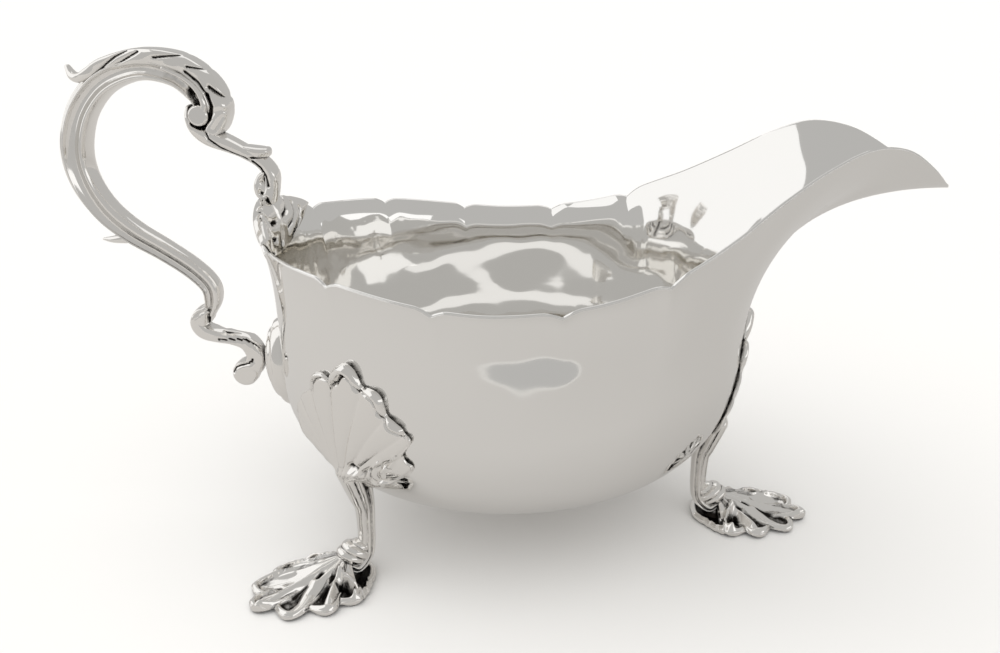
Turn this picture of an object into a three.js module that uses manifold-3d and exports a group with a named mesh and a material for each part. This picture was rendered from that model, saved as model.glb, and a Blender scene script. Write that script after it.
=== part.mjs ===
// A silver sauce jug: a raised bowl with a long lip, a flying scroll handle and three cast shell feet.
// Millimetres, +Z up. The lip points along +X, the handle lies in the plane Y = 0,
// and the feet stand on Z = 0.
import * as THREE from "three";
import { mergeVertices } from "three/addons/utils/BufferGeometryUtils.js";
import Module from "manifold-3d";

const wasm = await Module();
wasm.setup();

const solderGap = 0.3; // clearance left between two pieces that are soldered together
const degree = Math.PI / 180;

// Bowl
const bowlWall = 1.2;
const floorZ = 10.4; // lowest point of the bowl's outside
const keelX = 0.5; // where that point lies
const bellyMidX = 2; // widest station of the belly
const bellyFrontX = 56.1;
const bellyBackX = -51.2;
const bellyHalfWidth = 44.6;
const bellyBackZ = 44.4;
const bellyFrontZ = 49.6;
// Powers of the underside's curve, 2 being an ellipse and more being fuller
const bellySidePower = 2.25;
const bellyFrontPower = 2.45;
const bellyBackPower = 2.32;
const rimMidX = -0.6;
const rimBackX = -54.4;
const rimHalfWidth = 45.4;
const rimBackZ = 78.4;
const lipTipX = 98;
const lipTipZ = 85;
const rimNotchDepth = 1.2;
const rimNotchHalfAngle = 1.6;
const rimNotchAngles = [57, 77, 101.5, 126, 152];

// The edge is followed by the angle round the bowl, from 0 at the lip to 180 at the handle.
// The half behind the widest station is half an ellipse.
function backEdge(angle) {
  const reach = (rimMidX - rimBackX) * Math.cos(angle * degree);
  return [rimMidX + reach, rimHalfWidth * Math.sin(angle * degree)];
}
// Plan of the edge from the lip to the widest station, and one more that the curve heads for:
// angle, x, half width
const edgePlan = [
  [0, lipTipX, 0],
  [4, 95.8, 6.2],
  [8, 90.5, 11.6],
  [14, 82.5, 17.2],
  [20, 74, 21.6],
  [28, 65.2, 24.7],
  [36, 56.4, 28],
  [44, 47, 33.7],
  [52, 38, 38.8],
  [60, 30.3, 40.8],
  [72, 18.2, 43.8],
  [90, rimMidX, rimHalfWidth],
  [108, ...backEdge(108)],
];
// Height of the edge all round: angle, z
const edgeHeight = [
  [0, lipTipZ],
  [4, 85.8],
  [8, 90],
  [14, 94.8],
  [20, 95.9],
  [28, 92.6],
  [36, 87.4],
  [44, 81.6],
  [52, 77],
  [58, 74.2],
  [72, 70.6],
  [88, 69.2],
  [101, 70],
  [126, 73.1],
  [152, 74.9],
  [168, 76.9],
  [180, rimBackZ],
];
// How the wall comes up to the edge: angle, reach back along x, reach in along y, drop
const edgeApproach = [
  [0, -27, 0, 0.4],
  [8, -19, -4.6, -4.2],
  [14, -11.5, -5, -8.6],
  [20, -5.8, -4.2, -9.4],
  [28, -2.8, -3.3, -8.2],
  [36, -1.2, -2.8, -6.2],
  [52, 0.4, -2.8, -4.8],
  [90, 0, -3, -5],
  [150, 2.4, -1.4, -5.5],
  [180, 4.4, 0, -7],
];
// How far the wall rises from the belly before it turns: angle, rise
const wallRise = [
  [0, 24],
  [20, 26],
  [36, 20],
  [52, 12],
  [90, 9],
  [180, 10],
];

// Handle, in the plane Y = 0. Stations are x, z, half thickness and half width. The upper ones are measured
// from the edge of the bowl at its back, and the lower ones from the bowl where the socket plate sits.
const mainScrollUpper = [
  [-11.2, 21.8, 1.4, 2.9],
  [-12.3, 25.6, 2.1, 3.1],
  [-15.8, 29, 2.6, 3.3],
  [-21.4, 31, 2.8, 3.4],
  [-27.2, 30.3, 2.9, 3.4],
  [-32.9, 27.3, 3, 3.4],
  [-37.5, 21.9, 3.1, 3.4],
  [-39.9, 15.6, 3.2, 3.4],
  [-40.2, 9.8, 3.1, 3.3],
  [-38.6, 4.3, 3, 3.1],
  [-35.1, -1.1, 2.8, 2.9],
  [-29.8, -5.7, 2.5, 2.7],
];
const mainScrollLower = [
  [-26.7, 27.4, 2.3, 2.5],
  [-20.7, 23.1, 2.2, 2.4],
  [-17, 19.1, 2.1, 2.4],
  [-16.5, 15.5, 1.9, 2.3],
  [-17.6, 12.1, 1.2, 1.9],
];
const voluteEye = { x: -10.8, z: 21.7, radius: 2.5, halfWidth: 3.5 };
const thornPath = [
  [-32.1, 30.1, 0.9, 1.6],
  [-35.3, 30.1, 1.2, 1.5],
  [-38.3, 29.8, 0.8, 1.1],
  [-40.6, 29.9, 0.3, 0.4],
];
// The leaf lies over the outside of the main scroll
const leafPath = [
  [-39.4, 31.2, 0.4, 0.6],
  [-37.9, 28.6, 0.9, 2],
  [-34.8, 29.1, 1.5, 3.2],
  [-30, 31.7, 1.7, 3.8],
  [-22.4, 33.2, 2, 4],
  [-14.4, 32, 2.2, 4],
  [-8.8, 28.2, 2.7, 3.9],
  [-6.4, 23.4, 3, 3.7],
  [-7, 19.6, 2.8, 3.5],
  [-8.6, 17.3, 1.9, 3.2],
];
const upperScrollPath = [
  [-13.5, 23.6, 0.4, 2.4],
  [-14.2, 21.4, 0.6, 3],
  [-13.8, 18.8, 0.9, 3.3],
  [-11.8, 16.6, 1.5, 3.3],
  [-8.8, 15.2, 1.7, 3.2],
  [-5.6, 14, 1.4, 3],
  [-2.2, 12.8, 1.3, 2.8],
  [1.2, 11.3, 1.6, 2.7],
  [3.3, 8.4, 1.7, 2.6],
  [3.2, 5.4, 1.6, 2.5],
  [2.5, 2.8, 1.8, 2.8],
];
const upperTipPath = [
  [-3.8, 13.6, 0.5, 1.6],
  [-0.2, 13.4, 0.9, 2],
  [3.4, 13.5, 0.4, 0.8],
];
const curlPath = [
  [0.2, 11.5, 0.7, 1.8],
  [0.4, 8.6, 0.7, 1.9],
  [0.4, 5.8, 1.3, 2.1],
  [0.6, 3.6, 0.8, 1.6],
];
const lowerScrollPath = [
  [-18.1, 13.6, 0.6, 2.2],
  [-20.1, 11.9, 1.2, 2.5],
  [-20.7, 9.7, 1.6, 2.6],
  [-19.3, 7.6, 1.7, 2.6],
  [-16.3, 6.6, 1.6, 2.5],
  [-12.7, 6, 1.6, 2.4],
  [-9.3, 4.7, 1.9, 2.4],
  [-7.5, 1.5, 2.3, 2.4],
  [-8.3, -1.5, 2.3, 2.4],
];
const dropEnd = { x: -10.3, z: -3.3, radius: 3.2, halfWidth: 2.3 };
const socketShare = 0.96;
const socketHalfHeight = 11.2;
const socketHalfWidth = 7.4;
const socketThickness = 4.9;
const rimLeafSpread = 21; // degrees that the leaf covers on each side of the handle
const rimLeafRise = 2.3;
// Section of the leaf over the edge: share of the way down the wall, distance off its middle
const rimLeafSection = [
  [0.26, 0.8],
  [0.17, 1.5],
  [0.07, 1.9],
  [0, 1.7],
  [0, -0.6],
  [0, -2.4],
  [0.09, -3.4],
  [0.22, -3.2],
  [0.36, -2.4],
  [0.46, -0.9],
];

// Feet. A leg stands in an upright plane through its place, turned to its own heading.
const frontLegInset = 5.9; // how far the shaft stands inside the belly's outline
const rearLegInset = 7.9;
const rearLegAngle = 135;
const rearLegHeading = 147;
const rearKneeTurn = -3; // the shell's hinge is this far round the bowl from its leg
const rearKneeTilt = -17;
const kneeZ = 28.4; // height of the bowl where the shell is hinged
// Leg stations are reach, height as a share of the knee's, half depth, half width
const legPath = [
  [4.2, 0.951, 3.3, 5],
  [2.9, 0.8, 3.1, 4],
  [0.9, 0.69, 2.8, 3],
  [-0.1, 0.6, 2.2, 2.3],
  [-0.4, 0.44, 1.95, 2],
  [-0.3, 0.3, 1.9, 2],
  [0.4, 0.19, 1.9, 2.4],
  [2.6, 0.12, 1.8, 2.8],
  [4.8, 0.148, 1.6, 3.1],
  [5.8, 0.239, 1.5, 3],
  [5.6, 0.331, 0.8, 2.2],
];
const laidDepth = 0.8; // how far a piece laid on the bowl reaches into it before it is trimmed
const kneeStandOff = 4.2; // height of the shell above the bowl at its hinge
const kneeShellHeight = 2.6;
const kneeRollHeight = 0.9;
// Outline of the knee shell from its hinge: angle off its axis, reach; lobes stand at the first rows
const kneeOutline = [
  [0, 29.4],
  [13, 28.4],
  [26, 26.6],
  [40, 24.2],
  [54, 21.4],
  [69, 18.6],
  [86, 17],
  [104, 10],
  [135, 6],
  [180, 5],
];
const kneeLobes = 7; // rows of the outline that hold a lobe
const footHinge = 4.4;
const footOutline = [
  [0, 22.6],
  [21, 20.6],
  [43, 16.2],
  [70, 11],
  [100, 8.6],
  [135, 7],
  [180, 5.8],
];
const footLobes = 4;
const footRise = 7.2; // height of the foot's fan at its hinge
const footEdge = 2.4; // thickness of its edge
const footRib = 1.3;

const silver = new THREE.MeshStandardMaterial({ color: 0xd8d6d1, roughness: 0.12, metalness: 1 });
const castSilver = new THREE.MeshStandardMaterial({ color: 0xc9c6c0, roughness: 0.2, metalness: 1 });

// Smooth value between the rows of a list whose first column is the angle. The ends are level, so that
// the two halves of the bowl meet without a crease, save in the half width, which runs through zero.
function between(rows, angle, column) {
  let i = 0;
  while (i < rows.length - 2 && angle > rows[i + 1][0]) i += 1;
  const slope = (k) => {
    const a = rows[Math.max(k - 1, 0)];
    const b = rows[Math.min(k + 1, rows.length - 1)];
    return (b[column] - a[column]) / (b[0] - a[0]);
  };
  const [low, high] = [rows[i], rows[i + 1]];
  const span = high[0] - low[0];
  const t = (angle - low[0]) / span;
  const level = (k) => (k === 0 || k === rows.length - 1) && column !== 2;
  const m0 = level(i) ? 0 : slope(i) * span;
  const m1 = level(i + 1) ? 0 : slope(i + 1) * span;
  return (
    (2 * t ** 3 - 3 * t ** 2 + 1) * low[column] +
    (t ** 3 - 2 * t ** 2 + t) * m0 +
    (3 * t ** 2 - 2 * t ** 3) * high[column] +
    (t ** 3 - t ** 2) * m1
  );
}

// The little V cuts that part the waves of the edge
function notch(angle) {
  const near = Math.min(...rimNotchAngles.map((a) => Math.abs(a - angle)));
  return rimNotchDepth * Math.max(0, 1 - near / rimNotchHalfAngle);
}

function edgePoint(angle) {
  const z = between(edgeHeight, angle, 1) - notch(angle);
  if (angle <= 90) return new THREE.Vector3(between(edgePlan, angle, 1), between(edgePlan, angle, 2), z);
  return new THREE.Vector3(...backEdge(angle), z);
}

function bellyZ(angle) {
  return bellyBackZ + ((bellyFrontZ - bellyBackZ) * (1 + Math.cos(angle * degree))) / 2;
}

function bellyPower(angle) {
  const endPower = angle < 90 ? bellyFrontPower : bellyBackPower;
  return bellySidePower + (endPower - bellySidePower) * Math.cos(angle * degree) ** 2;
}

// The share of the way from the bottom to the belly where the bowl is at a height
function shareAtZ(angle, z) {
  const up = (z - floorZ) / (bellyZ(angle) - floorZ);
  return (Math.acos((1 - up) ** (bellyPower(angle) / 2)) * 2) / Math.PI;
}

function bellyPoint(angle, share = 1) {
  const turn = angle * degree;
  const reach = angle < 90 ? bellyFrontX - bellyMidX : bellyMidX - bellyBackX;
  const power = bellyPower(angle);
  const out = Math.sin((share * Math.PI) / 2) ** (2 / power);
  const up = 1 - Math.max(0, Math.cos((share * Math.PI) / 2)) ** (2 / power);
  const mid = keelX + (bellyMidX - keelX) * out;
  return new THREE.Vector3(
    mid + reach * Math.cos(turn) * out,
    bellyHalfWidth * Math.sin(turn) * out,
    floorZ + (bellyZ(angle) - floorZ) * up,
  );
}

// Outside of the bowl: angle 0 to 360, share 0 at the bottom, 1 at the belly, 2 at the edge
function bowlPoint(anyAngle, share) {
  const fullAngle = (anyAngle + 360) % 360;
  const angle = fullAngle > 180 ? 360 - fullAngle : fullAngle;
  let p;
  if (share <= 1) {
    p = bellyPoint(angle, share);
  } else {
    const start = bellyPoint(angle);
    const end = edgePoint(angle);
    const approach = [1, 2, 3].map((c) => between(edgeApproach, angle, c));
    const leave = start.clone().add(new THREE.Vector3(0, 0, between(wallRise, angle, 1)));
    const arrive = end.clone().add(new THREE.Vector3(...approach));
    p = new THREE.CubicBezierCurve3(start, leave, arrive, end).getPoint(share - 1);
  }
  if (fullAngle > 180) p.y = -p.y;
  return p;
}

function bowlNormal(angle, share) {
  const da = 0.5;
  const ds = 0.01;
  const low = Math.max(share - ds, 0.02);
  const high = Math.min(share + ds, 2);
  const round = bowlPoint(angle + da, share).sub(bowlPoint(angle - da, share));
  const up = bowlPoint(angle, high).sub(bowlPoint(angle, low));
  return round.cross(up).normalize();
}

// A closed mesh through rings of points, drawn to a point at each end
function loft(rings, start, end) {
  const count = rings[0].length;
  const points = [start, ...rings.flat(), end];
  const last = points.length - 1;
  const at = (ring, i) => 1 + ring * count + (i % count);
  const index = [];
  for (let i = 0; i < count; i += 1) {
    index.push(0, at(0, i + 1), at(0, i));
    index.push(last, at(rings.length - 1, i), at(rings.length - 1, i + 1));
  }
  for (let r = 0; r < rings.length - 1; r += 1) {
    for (let i = 0; i < count; i += 1) {
      index.push(at(r, i), at(r, i + 1), at(r + 1, i + 1));
      index.push(at(r, i), at(r + 1, i + 1), at(r + 1, i));
    }
  }
  const geometry = new THREE.BufferGeometry();
  geometry.setAttribute("position", new THREE.Float32BufferAttribute(points.flatMap((p) => p.toArray()), 3));
  geometry.setIndex(volumeOf(points, index) < 0 ? index.reverse() : index);
  return geometry;
}

function volumeOf(points, index) {
  let sum = 0;
  for (let i = 0; i < index.length; i += 3) {
    const [a, b, c] = [0, 1, 2].map((k) => points[index[i + k]]);
    sum += a.dot(b.clone().cross(c)) / 6;
  }
  return sum;
}

function solidOf(geometry) {
  const bare = geometry.clone();
  bare.deleteAttribute("normal");
  bare.deleteAttribute("uv");
  const merged = mergeVertices(bare, 1e-4);
  const vertProperties = new Float32Array(merged.attributes.position.array);
  const triVerts = new Uint32Array(merged.index.array);
  return new wasm.Manifold(new wasm.Mesh({ numProp: 3, vertProperties, triVerts }));
}

function geometryOf(solid) {
  const mesh = solid.getMesh();
  const geometry = new THREE.BufferGeometry();
  geometry.setAttribute("position", new THREE.BufferAttribute(new Float32Array(mesh.vertProperties), 3));
  geometry.setIndex(new THREE.BufferAttribute(new Uint32Array(mesh.triVerts), 1));
  return geometry;
}

// The largest of the bodies that a cut has left
function largest(solid) {
  const bodies = solid.decompose();
  bodies.sort((a, b) => b.volume() - a.volume());
  return bodies[0];
}

const roundSection = (count) =>
  Array.from({ length: count }, (_, i) => {
    const turn = (i / count) * 2 * Math.PI;
    return [Math.cos(turn), Math.sin(turn)];
  });

// Half of the main scroll's section, from its outer spine round the hollow of its side to its inner face
const scrollHalfSection = [
  [1, 0],
  [0.92, 0.55],
  [0.62, 1],
  [0.36, 0.94],
  [0, 0.74],
  [-0.4, 0.86],
  [-0.72, 0.92],
  [-0.96, 0.55],
  [-1, 0],
];
const scrollSection = [
  ...scrollHalfSection,
  ...scrollHalfSection
    .slice(1, -1)
    .reverse()
    .map(([r, y]) => [r, -y]),
];

// A bar along stations of x, z, half thickness and half width, grown all round where it serves as a cutter
function bar(stations, section, steps, grow = 0) {
  const path = new THREE.CatmullRomCurve3(stations.map(([x, z]) => new THREE.Vector3(x, 0, z)));
  const halves = stations.map(([, , half, side]) => new THREE.Vector3(half, side, 0));
  const size = new THREE.CatmullRomCurve3(halves);
  const rings = [];
  const ends = [];
  for (let i = 0; i <= steps; i += 1) {
    const t = i / steps;
    const p = path.getPoint(t);
    const tangent = path.getTangent(t);
    const out = new THREE.Vector3(tangent.z, 0, -tangent.x);
    const { x: half, y: side } = size.getPoint(t);
    rings.push(
      section.map(([r, y]) =>
        p.clone().addScaledVector(out, r * (half + grow)).add(new THREE.Vector3(0, y * (side + grow), 0)),
      ),
    );
    if (i === 0) ends.push(p.clone().addScaledVector(tangent, -half * 0.6 - grow));
    if (i === steps) ends.push(p.clone().addScaledVector(tangent, half * 0.6 + grow));
  }
  return loft(rings, ends[0], ends[1]);
}

// A round boss across the handle, domed on both sides
function boss({ x, z, radius, halfWidth }, seat, grow = 0) {
  const r = radius + grow;
  const w = halfWidth + grow;
  const profile = [
    [0, -w],
    [r * 0.7, -w * 0.94],
    [r, -w * 0.66],
    [r, w * 0.66],
    [r * 0.7, w * 0.94],
    [0, w],
  ];
  const geometry = new THREE.LatheGeometry(profile.map(([a, b]) => new THREE.Vector2(a, b)), 20);
  geometry.translate(seat.x + x, 0, seat.z + z);
  return geometry;
}

// The bowl's angles: an even spread, with the shoulders and the foot of each notch
function bowlAngles() {
  const half = [0, 5, 10, 15, 21, 28, 35, 42, 50, 66, 88, 112, 119, 134, 143, 163, 172, 180];
  for (const a of rimNotchAngles) half.push(a - rimNotchHalfAngle, a, a + rimNotchHalfAngle);
  half.sort((a, b) => a - b);
  return [...half, ...half.slice(1, -1).reverse().map((a) => 360 - a)];
}

const bowlShares = [0.2, 0.38, 0.54, 0.68, 0.8, 0.9, 1, 1.2, 1.4, 1.58, 1.74, 1.86, 1.94, 2];

// Rings of the bowl's surface, moved out along its normal
function bowlRings(offset, shares) {
  return shares.map((share) =>
    bowlAngles().map((angle) => bowlPoint(angle, share).addScaledVector(bowlNormal(angle, share), offset)),
  );
}

function bowlBottom(offset) {
  return new THREE.Vector3(keelX, 0, floorZ - offset);
}

function bowlWallGeometry(grow = 0) {
  const outer = bowlRings(grow, bowlShares);
  const inner = bowlRings(-bowlWall - grow, bowlShares).reverse();
  const raise = (ring) => ring.forEach((p) => p.setZ(p.z + grow));
  if (grow > 0) [outer[outer.length - 1], inner[0]].forEach(raise);
  return loft([...outer, ...inner], bowlBottom(grow), bowlBottom(-bowlWall - grow));
}

// The bowl as a filled body, to trim what is soldered to its outside
function bowlCutter(grow) {
  const rings = bowlRings(grow, bowlShares);
  const top = new THREE.Vector3(bellyMidX, 0, edgeHeight[5][1]);
  return solidOf(loft(rings, bowlBottom(grow), top));
}

// The share of the bowl at a distance up its wall from a start, in millimetres along the surface
function climb(angle, start) {
  const marks = [];
  let run = 0;
  for (let s = 0.04; s < 2; s += 0.04) {
    const next = run + bowlPoint(angle, s).distanceTo(bowlPoint(angle, s + 0.04));
    marks.push({ s, run, next });
    run = next;
  }
  const from = marks.find((m) => m.s + 0.04 > start);
  const zero = from.run + ((start - from.s) / 0.04) * (from.next - from.run);
  return (up) => {
    const mark = marks.find((m) => m.next > zero + up) ?? marks[marks.length - 1];
    return mark.s + (0.04 * (zero + up - mark.run)) / (mark.next - mark.run);
  };
}

// Millimetres along the bowl's surface for one degree at a share
function girth(angle, share) {
  return bowlPoint(angle + 1, share).distanceTo(bowlPoint(angle, share));
}

// Value of an outline list at an angle off the axis, the same on both sides
function outlineAt(rows, angle) {
  return between(rows, Math.abs(angle), 1);
}

// 1 in the middle of a lobe and 0 in the cleft between two, for lobes at the first rows of an outline
function lobeAt(rows, count, angle) {
  const a = Math.abs(angle);
  let i = 0;
  while (i < count - 1 && a > rows[i + 1][0]) i += 1;
  const phase = i + (a - rows[i][0]) / (rows[i + 1][0] - rows[i][0]);
  return phase > count - 0.5 ? 0 : Math.abs(Math.cos(phase * Math.PI));
}

// A shell laid on the bowl: rings round its hinge, raised above the surface by height(t, angle off axis).
// A grown one is higher all over, and only its last ring reaches out, by more because its outline is slanted.
function laidOnBowl(place, tilt, turns, fractions, outline, height, grow = 0) {
  const [angle, share] = place;
  const shareUp = climb(angle, share);
  const spot = (t, off, lift) => {
    const reach = t * outline(off) + (t === 1 ? 2 * grow : 0);
    const turn = (off + tilt) * degree;
    const s = shareUp(reach * Math.cos(turn));
    const a = angle + (reach * Math.sin(turn)) / girth(angle, s);
    return bowlPoint(a, s).addScaledVector(bowlNormal(a, s), lift);
  };
  const top = fractions.map((t) => turns.map((off) => spot(t, off, height(t, off) + grow)));
  const under = [...fractions].reverse().map((t) => turns.map((off) => spot(t, off, -laidDepth - grow)));
  return loft([...top, ...under], spot(0, 0, height(0, 0) + grow), spot(0, 0, -laidDepth - grow));
}

const evenTurns = (count) => Array.from({ length: count }, (_, i) => (i / count) * 360 - 180 + 180 / count);

function kneeShell(place, tilt, grow = 0) {
  const turns = evenTurns(16).filter((a) => Math.abs(a) > 98);
  for (let a = -93; a <= 93; a += 6.2) turns.push(a);
  turns.sort((a, b) => a - b);
  const outline = (off) => {
    const lobe = lobeAt(kneeOutline, kneeLobes, off);
    return outlineAt(kneeOutline, off) * (0.945 + 0.055 * lobe);
  };
  const height = (t, off) => {
    const settle = kneeShellHeight + (kneeStandOff - kneeShellHeight) * Math.max(0, 1 - t / 0.55) ** 2;
    const roll = kneeRollHeight * Math.exp(-(((t - 0.9) / 0.07) ** 2));
    const edge = Math.sqrt(Math.max(0, 1 - (Math.max(0, t - 0.9) / 0.1) ** 2));
    return (settle + 0.5 * t * (lobeAt(kneeOutline, kneeLobes, off) - 0.5) + roll) * edge;
  };
  return laidOnBowl(place, tilt, turns, [0.2, 0.42, 0.64, 0.82, 0.91, 1], outline, height, grow);
}

function socketPlate(grow = 0) {
  const outline = (off) => {
    const c = Math.cos(off * degree) / socketHalfHeight;
    const s = Math.sin(off * degree) / socketHalfWidth;
    return 1 / Math.hypot(c, s);
  };
  const height = (t) => socketThickness * Math.sqrt(Math.max(0, 1 - t ** 2)) ** 0.8;
  return laidOnBowl([180, socketShare], 0, evenTurns(24), [0.35, 0.65, 0.86, 1], outline, height, grow);
}

// The leaf that sits astride the edge where the handle lands
function rimLeaf() {
  const offs = [-1, -0.86, -0.7, -0.52, -0.34, -0.17, 0, 0.17, 0.34, 0.52, 0.7, 0.86, 1];
  const rings = offs.slice(1, -1).map((k) => {
    const angle = 180 + k * rimLeafSpread;
    const swell = Math.sqrt(1 - k * k);
    return rimLeafSection.map(([down, off]) => {
      const share = 2 - down * (0.4 + 0.6 * swell) * swell;
      const middle = bowlPoint(angle, share).addScaledVector(bowlNormal(angle, share), -bowlWall / 2);
      const rise = down === 0 ? rimLeafRise * swell * (1 - (off / 4.4) ** 2) : 0;
      const out = off * (0.3 + 0.7 * swell);
      return middle.addScaledVector(bowlNormal(angle, share), out).setZ(middle.z + rise);
    });
  });
  const end = (k) => bowlPoint(180 + k * rimLeafSpread, 1.99);
  return loft(rings, end(-1), end(1));
}

function footShell() {
  const turns = [];
  for (let a = -180; a < -86; a += 15.6) turns.push(a);
  for (let a = -86; a <= 86; a += 5.375) turns.push(a);
  for (let a = 180 - 15.6; a > 88; a -= 15.6) turns.push(a);
  turns.sort((a, b) => a - b);
  const reach = (off) => outlineAt(footOutline, off) * (0.92 + 0.08 * lobeAt(footOutline, footLobes, off));
  const spot = (t, off, z) => {
    const r = t * reach(off);
    return new THREE.Vector3(footHinge + r * Math.cos(off * degree), r * Math.sin(off * degree), z);
  };
  const height = (t, off) => {
    const heel = Math.max(0, Math.min(1, (Math.abs(off) - 80) / 40));
    const rib = footRib * t * (lobeAt(footOutline, footLobes, off) - 0.4);
    const fan = footEdge + (footRise - footEdge) * (1 - t) ** 1.2 + rib;
    const dish = footEdge * (0.6 + 0.9 * t ** 2);
    return fan * (1 - heel) + dish * heel;
  };
  const top = [0.3, 0.55, 0.78, 0.93].map((t) => turns.map((off) => spot(t, off, height(t, off))));
  const side = [
    turns.map((off) => spot(1, off, height(1, off) * 0.45)),
    turns.map((off) => spot(0.95, off, 0)),
  ];
  return loft([...top, ...side], spot(0, 0, height(0, 0) * 0.9), spot(0, 0, 0));
}

// Turns a leg or foot from its own plane to its heading and moves it to its place
function standAt(geometry, { x, y, heading }) {
  geometry.rotateZ(heading * degree);
  geometry.translate(x, y, 0);
  return geometry;
}

const group = new THREE.Group();

function addPiece(name, geometry, material) {
  const mesh = new THREE.Mesh(geometry, material);
  mesh.name = name;
  group.add(mesh);
}

const bowlTrim = bowlCutter(solderGap);
const rimTrim = solidOf(bowlWallGeometry(solderGap));

addPiece("bowl", bowlWallGeometry(), silver);

// Where a leg stands: inside the belly's outline, on the line to the bowl's middle
function legPlace(angle, inset) {
  const edge = bellyPoint(angle).setZ(0);
  const inward = new THREE.Vector3(bellyMidX, 0, 0).sub(edge).normalize();
  return edge.addScaledVector(inward, inset);
}

const legStations = legPath.map(([reach, up, depth, width]) => [reach, up * kneeZ, depth, width]);
const rearPlace = legPlace(rearLegAngle, rearLegInset);
const rearKnee = rearLegAngle + rearKneeTurn;
const legs = [
  { side: "front", x: legPlace(0, frontLegInset).x, y: 0, heading: 0, knee: 0, tilt: 0 },
];
for (const [side, hand] of [["left", 1], ["right", -1]]) {
  legs.push({
    side,
    x: rearPlace.x,
    y: rearPlace.y * hand,
    heading: rearLegHeading * hand,
    knee: rearKnee * hand,
    tilt: rearKneeTilt * hand,
  });
}

for (const leg of legs) {
  const place = [leg.knee, shareAtZ(Math.abs(leg.knee), kneeZ)];
  const shell = solidOf(kneeShell(place, leg.tilt)).subtract(bowlTrim);
  const shellTrim = solidOf(kneeShell(place, leg.tilt, solderGap));
  const shaft = solidOf(standAt(bar(legStations, roundSection(12), 20), leg));
  const shaftTrim = solidOf(standAt(bar(legStations, roundSection(12), 20, solderGap), leg));
  const foot = solidOf(standAt(footShell(), leg)).subtract(shaftTrim);
  addPiece(`knee_shell_${leg.side}`, geometryOf(largest(shell)), castSilver);
  addPiece(`leg_${leg.side}`, geometryOf(largest(shaft.subtract(shellTrim).subtract(bowlTrim))), castSilver);
  addPiece(`foot_shell_${leg.side}`, geometryOf(largest(foot)), castSilver);
}

const rimSeat = edgePoint(180);
const socketSeat = bellyPoint(180, socketShare);

// Stations of the handle moved to where they are measured from
function seated(stations, seat) {
  return stations.map(([x, z, half, side]) => [seat.x + x, seat.z + z, half, side]);
}

function mainScroll(grow = 0) {
  const stations = [...seated(mainScrollUpper, rimSeat), ...seated(mainScrollLower, socketSeat)];
  const scroll = solidOf(bar(stations, scrollSection, 34, grow));
  const thorn = solidOf(bar(seated(thornPath, socketSeat), roundSection(8), 8, grow));
  return scroll.add(solidOf(boss(voluteEye, rimSeat, grow))).add(thorn);
}

function upperScroll(grow = 0) {
  const band = solidOf(bar(seated(upperScrollPath, rimSeat), roundSection(10), 20, grow));
  const tip = solidOf(bar(seated(upperTipPath, rimSeat), roundSection(8), 6, grow));
  const curl = solidOf(bar(seated(curlPath, rimSeat), roundSection(8), 8, grow));
  return band.add(tip).add(curl);
}

function lowerScroll(grow = 0) {
  const link = solidOf(bar(seated(lowerScrollPath, socketSeat), roundSection(10), 20, grow));
  return link.add(solidOf(boss(dropEnd, socketSeat, grow)));
}

const mainTrim = mainScroll(solderGap);
const upperTrim = upperScroll(solderGap);
const plate = solidOf(socketPlate()).subtract(bowlTrim);
const plateTrim = solidOf(socketPlate(solderGap));
const leafBar = solidOf(bar(seated(leafPath, rimSeat), roundSection(12), 24));
const leaf = leafBar.subtract(mainTrim).subtract(upperTrim);
const upper = upperScroll().subtract(mainTrim).subtract(rimTrim);
const lower = lowerScroll().subtract(mainTrim).subtract(plateTrim);
const rimCap = solidOf(rimLeaf()).subtract(rimTrim).subtract(upperTrim);

addPiece("handle_main_scroll", geometryOf(largest(mainScroll())), castSilver);
addPiece("handle_leaf_cap", geometryOf(largest(leaf)), castSilver);
addPiece("handle_upper_scroll", geometryOf(largest(upper)), castSilver);
addPiece("handle_rim_leaf", geometryOf(largest(rimCap)), castSilver);
addPiece("handle_lower_scroll", geometryOf(largest(lower)), castSilver);
addPiece("handle_socket_plate", geometryOf(largest(plate)), castSilver);

// The origin is the middle of the whole jug's outline, at the height of what it stands on
const extent = new THREE.Box3().setFromObject(group);
const middle = extent.getCenter(new THREE.Vector3());
group.position.set(-middle.x, -middle.y, -extent.min.z);

export default group;
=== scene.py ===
# A polished silver sauce jug: a raised bowl with a long lip, a flying scroll handle
# and three cast shell feet
import bpy
import bmesh
import math
from math import exp, hypot, pi, radians, sqrt
from mathutils import Matrix, Vector


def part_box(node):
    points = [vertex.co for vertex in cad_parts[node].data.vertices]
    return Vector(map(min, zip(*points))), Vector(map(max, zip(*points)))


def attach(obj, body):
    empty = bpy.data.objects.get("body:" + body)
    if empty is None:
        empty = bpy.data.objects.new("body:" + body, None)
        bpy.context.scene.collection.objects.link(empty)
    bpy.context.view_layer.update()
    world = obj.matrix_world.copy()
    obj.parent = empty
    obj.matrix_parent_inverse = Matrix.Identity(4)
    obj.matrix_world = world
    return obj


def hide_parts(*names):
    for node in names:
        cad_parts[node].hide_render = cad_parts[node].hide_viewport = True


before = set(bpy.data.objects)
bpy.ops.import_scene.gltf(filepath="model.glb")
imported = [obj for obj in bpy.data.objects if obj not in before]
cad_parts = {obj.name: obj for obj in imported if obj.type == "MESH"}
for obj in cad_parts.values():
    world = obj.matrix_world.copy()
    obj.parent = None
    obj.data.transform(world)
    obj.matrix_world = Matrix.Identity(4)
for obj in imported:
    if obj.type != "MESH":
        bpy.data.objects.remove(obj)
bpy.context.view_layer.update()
print("frame loaded")

scene = bpy.context.scene
mm = 0.001
weld = 0.003  # points nearer to each other than this, in millimetres, are one point

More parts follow.
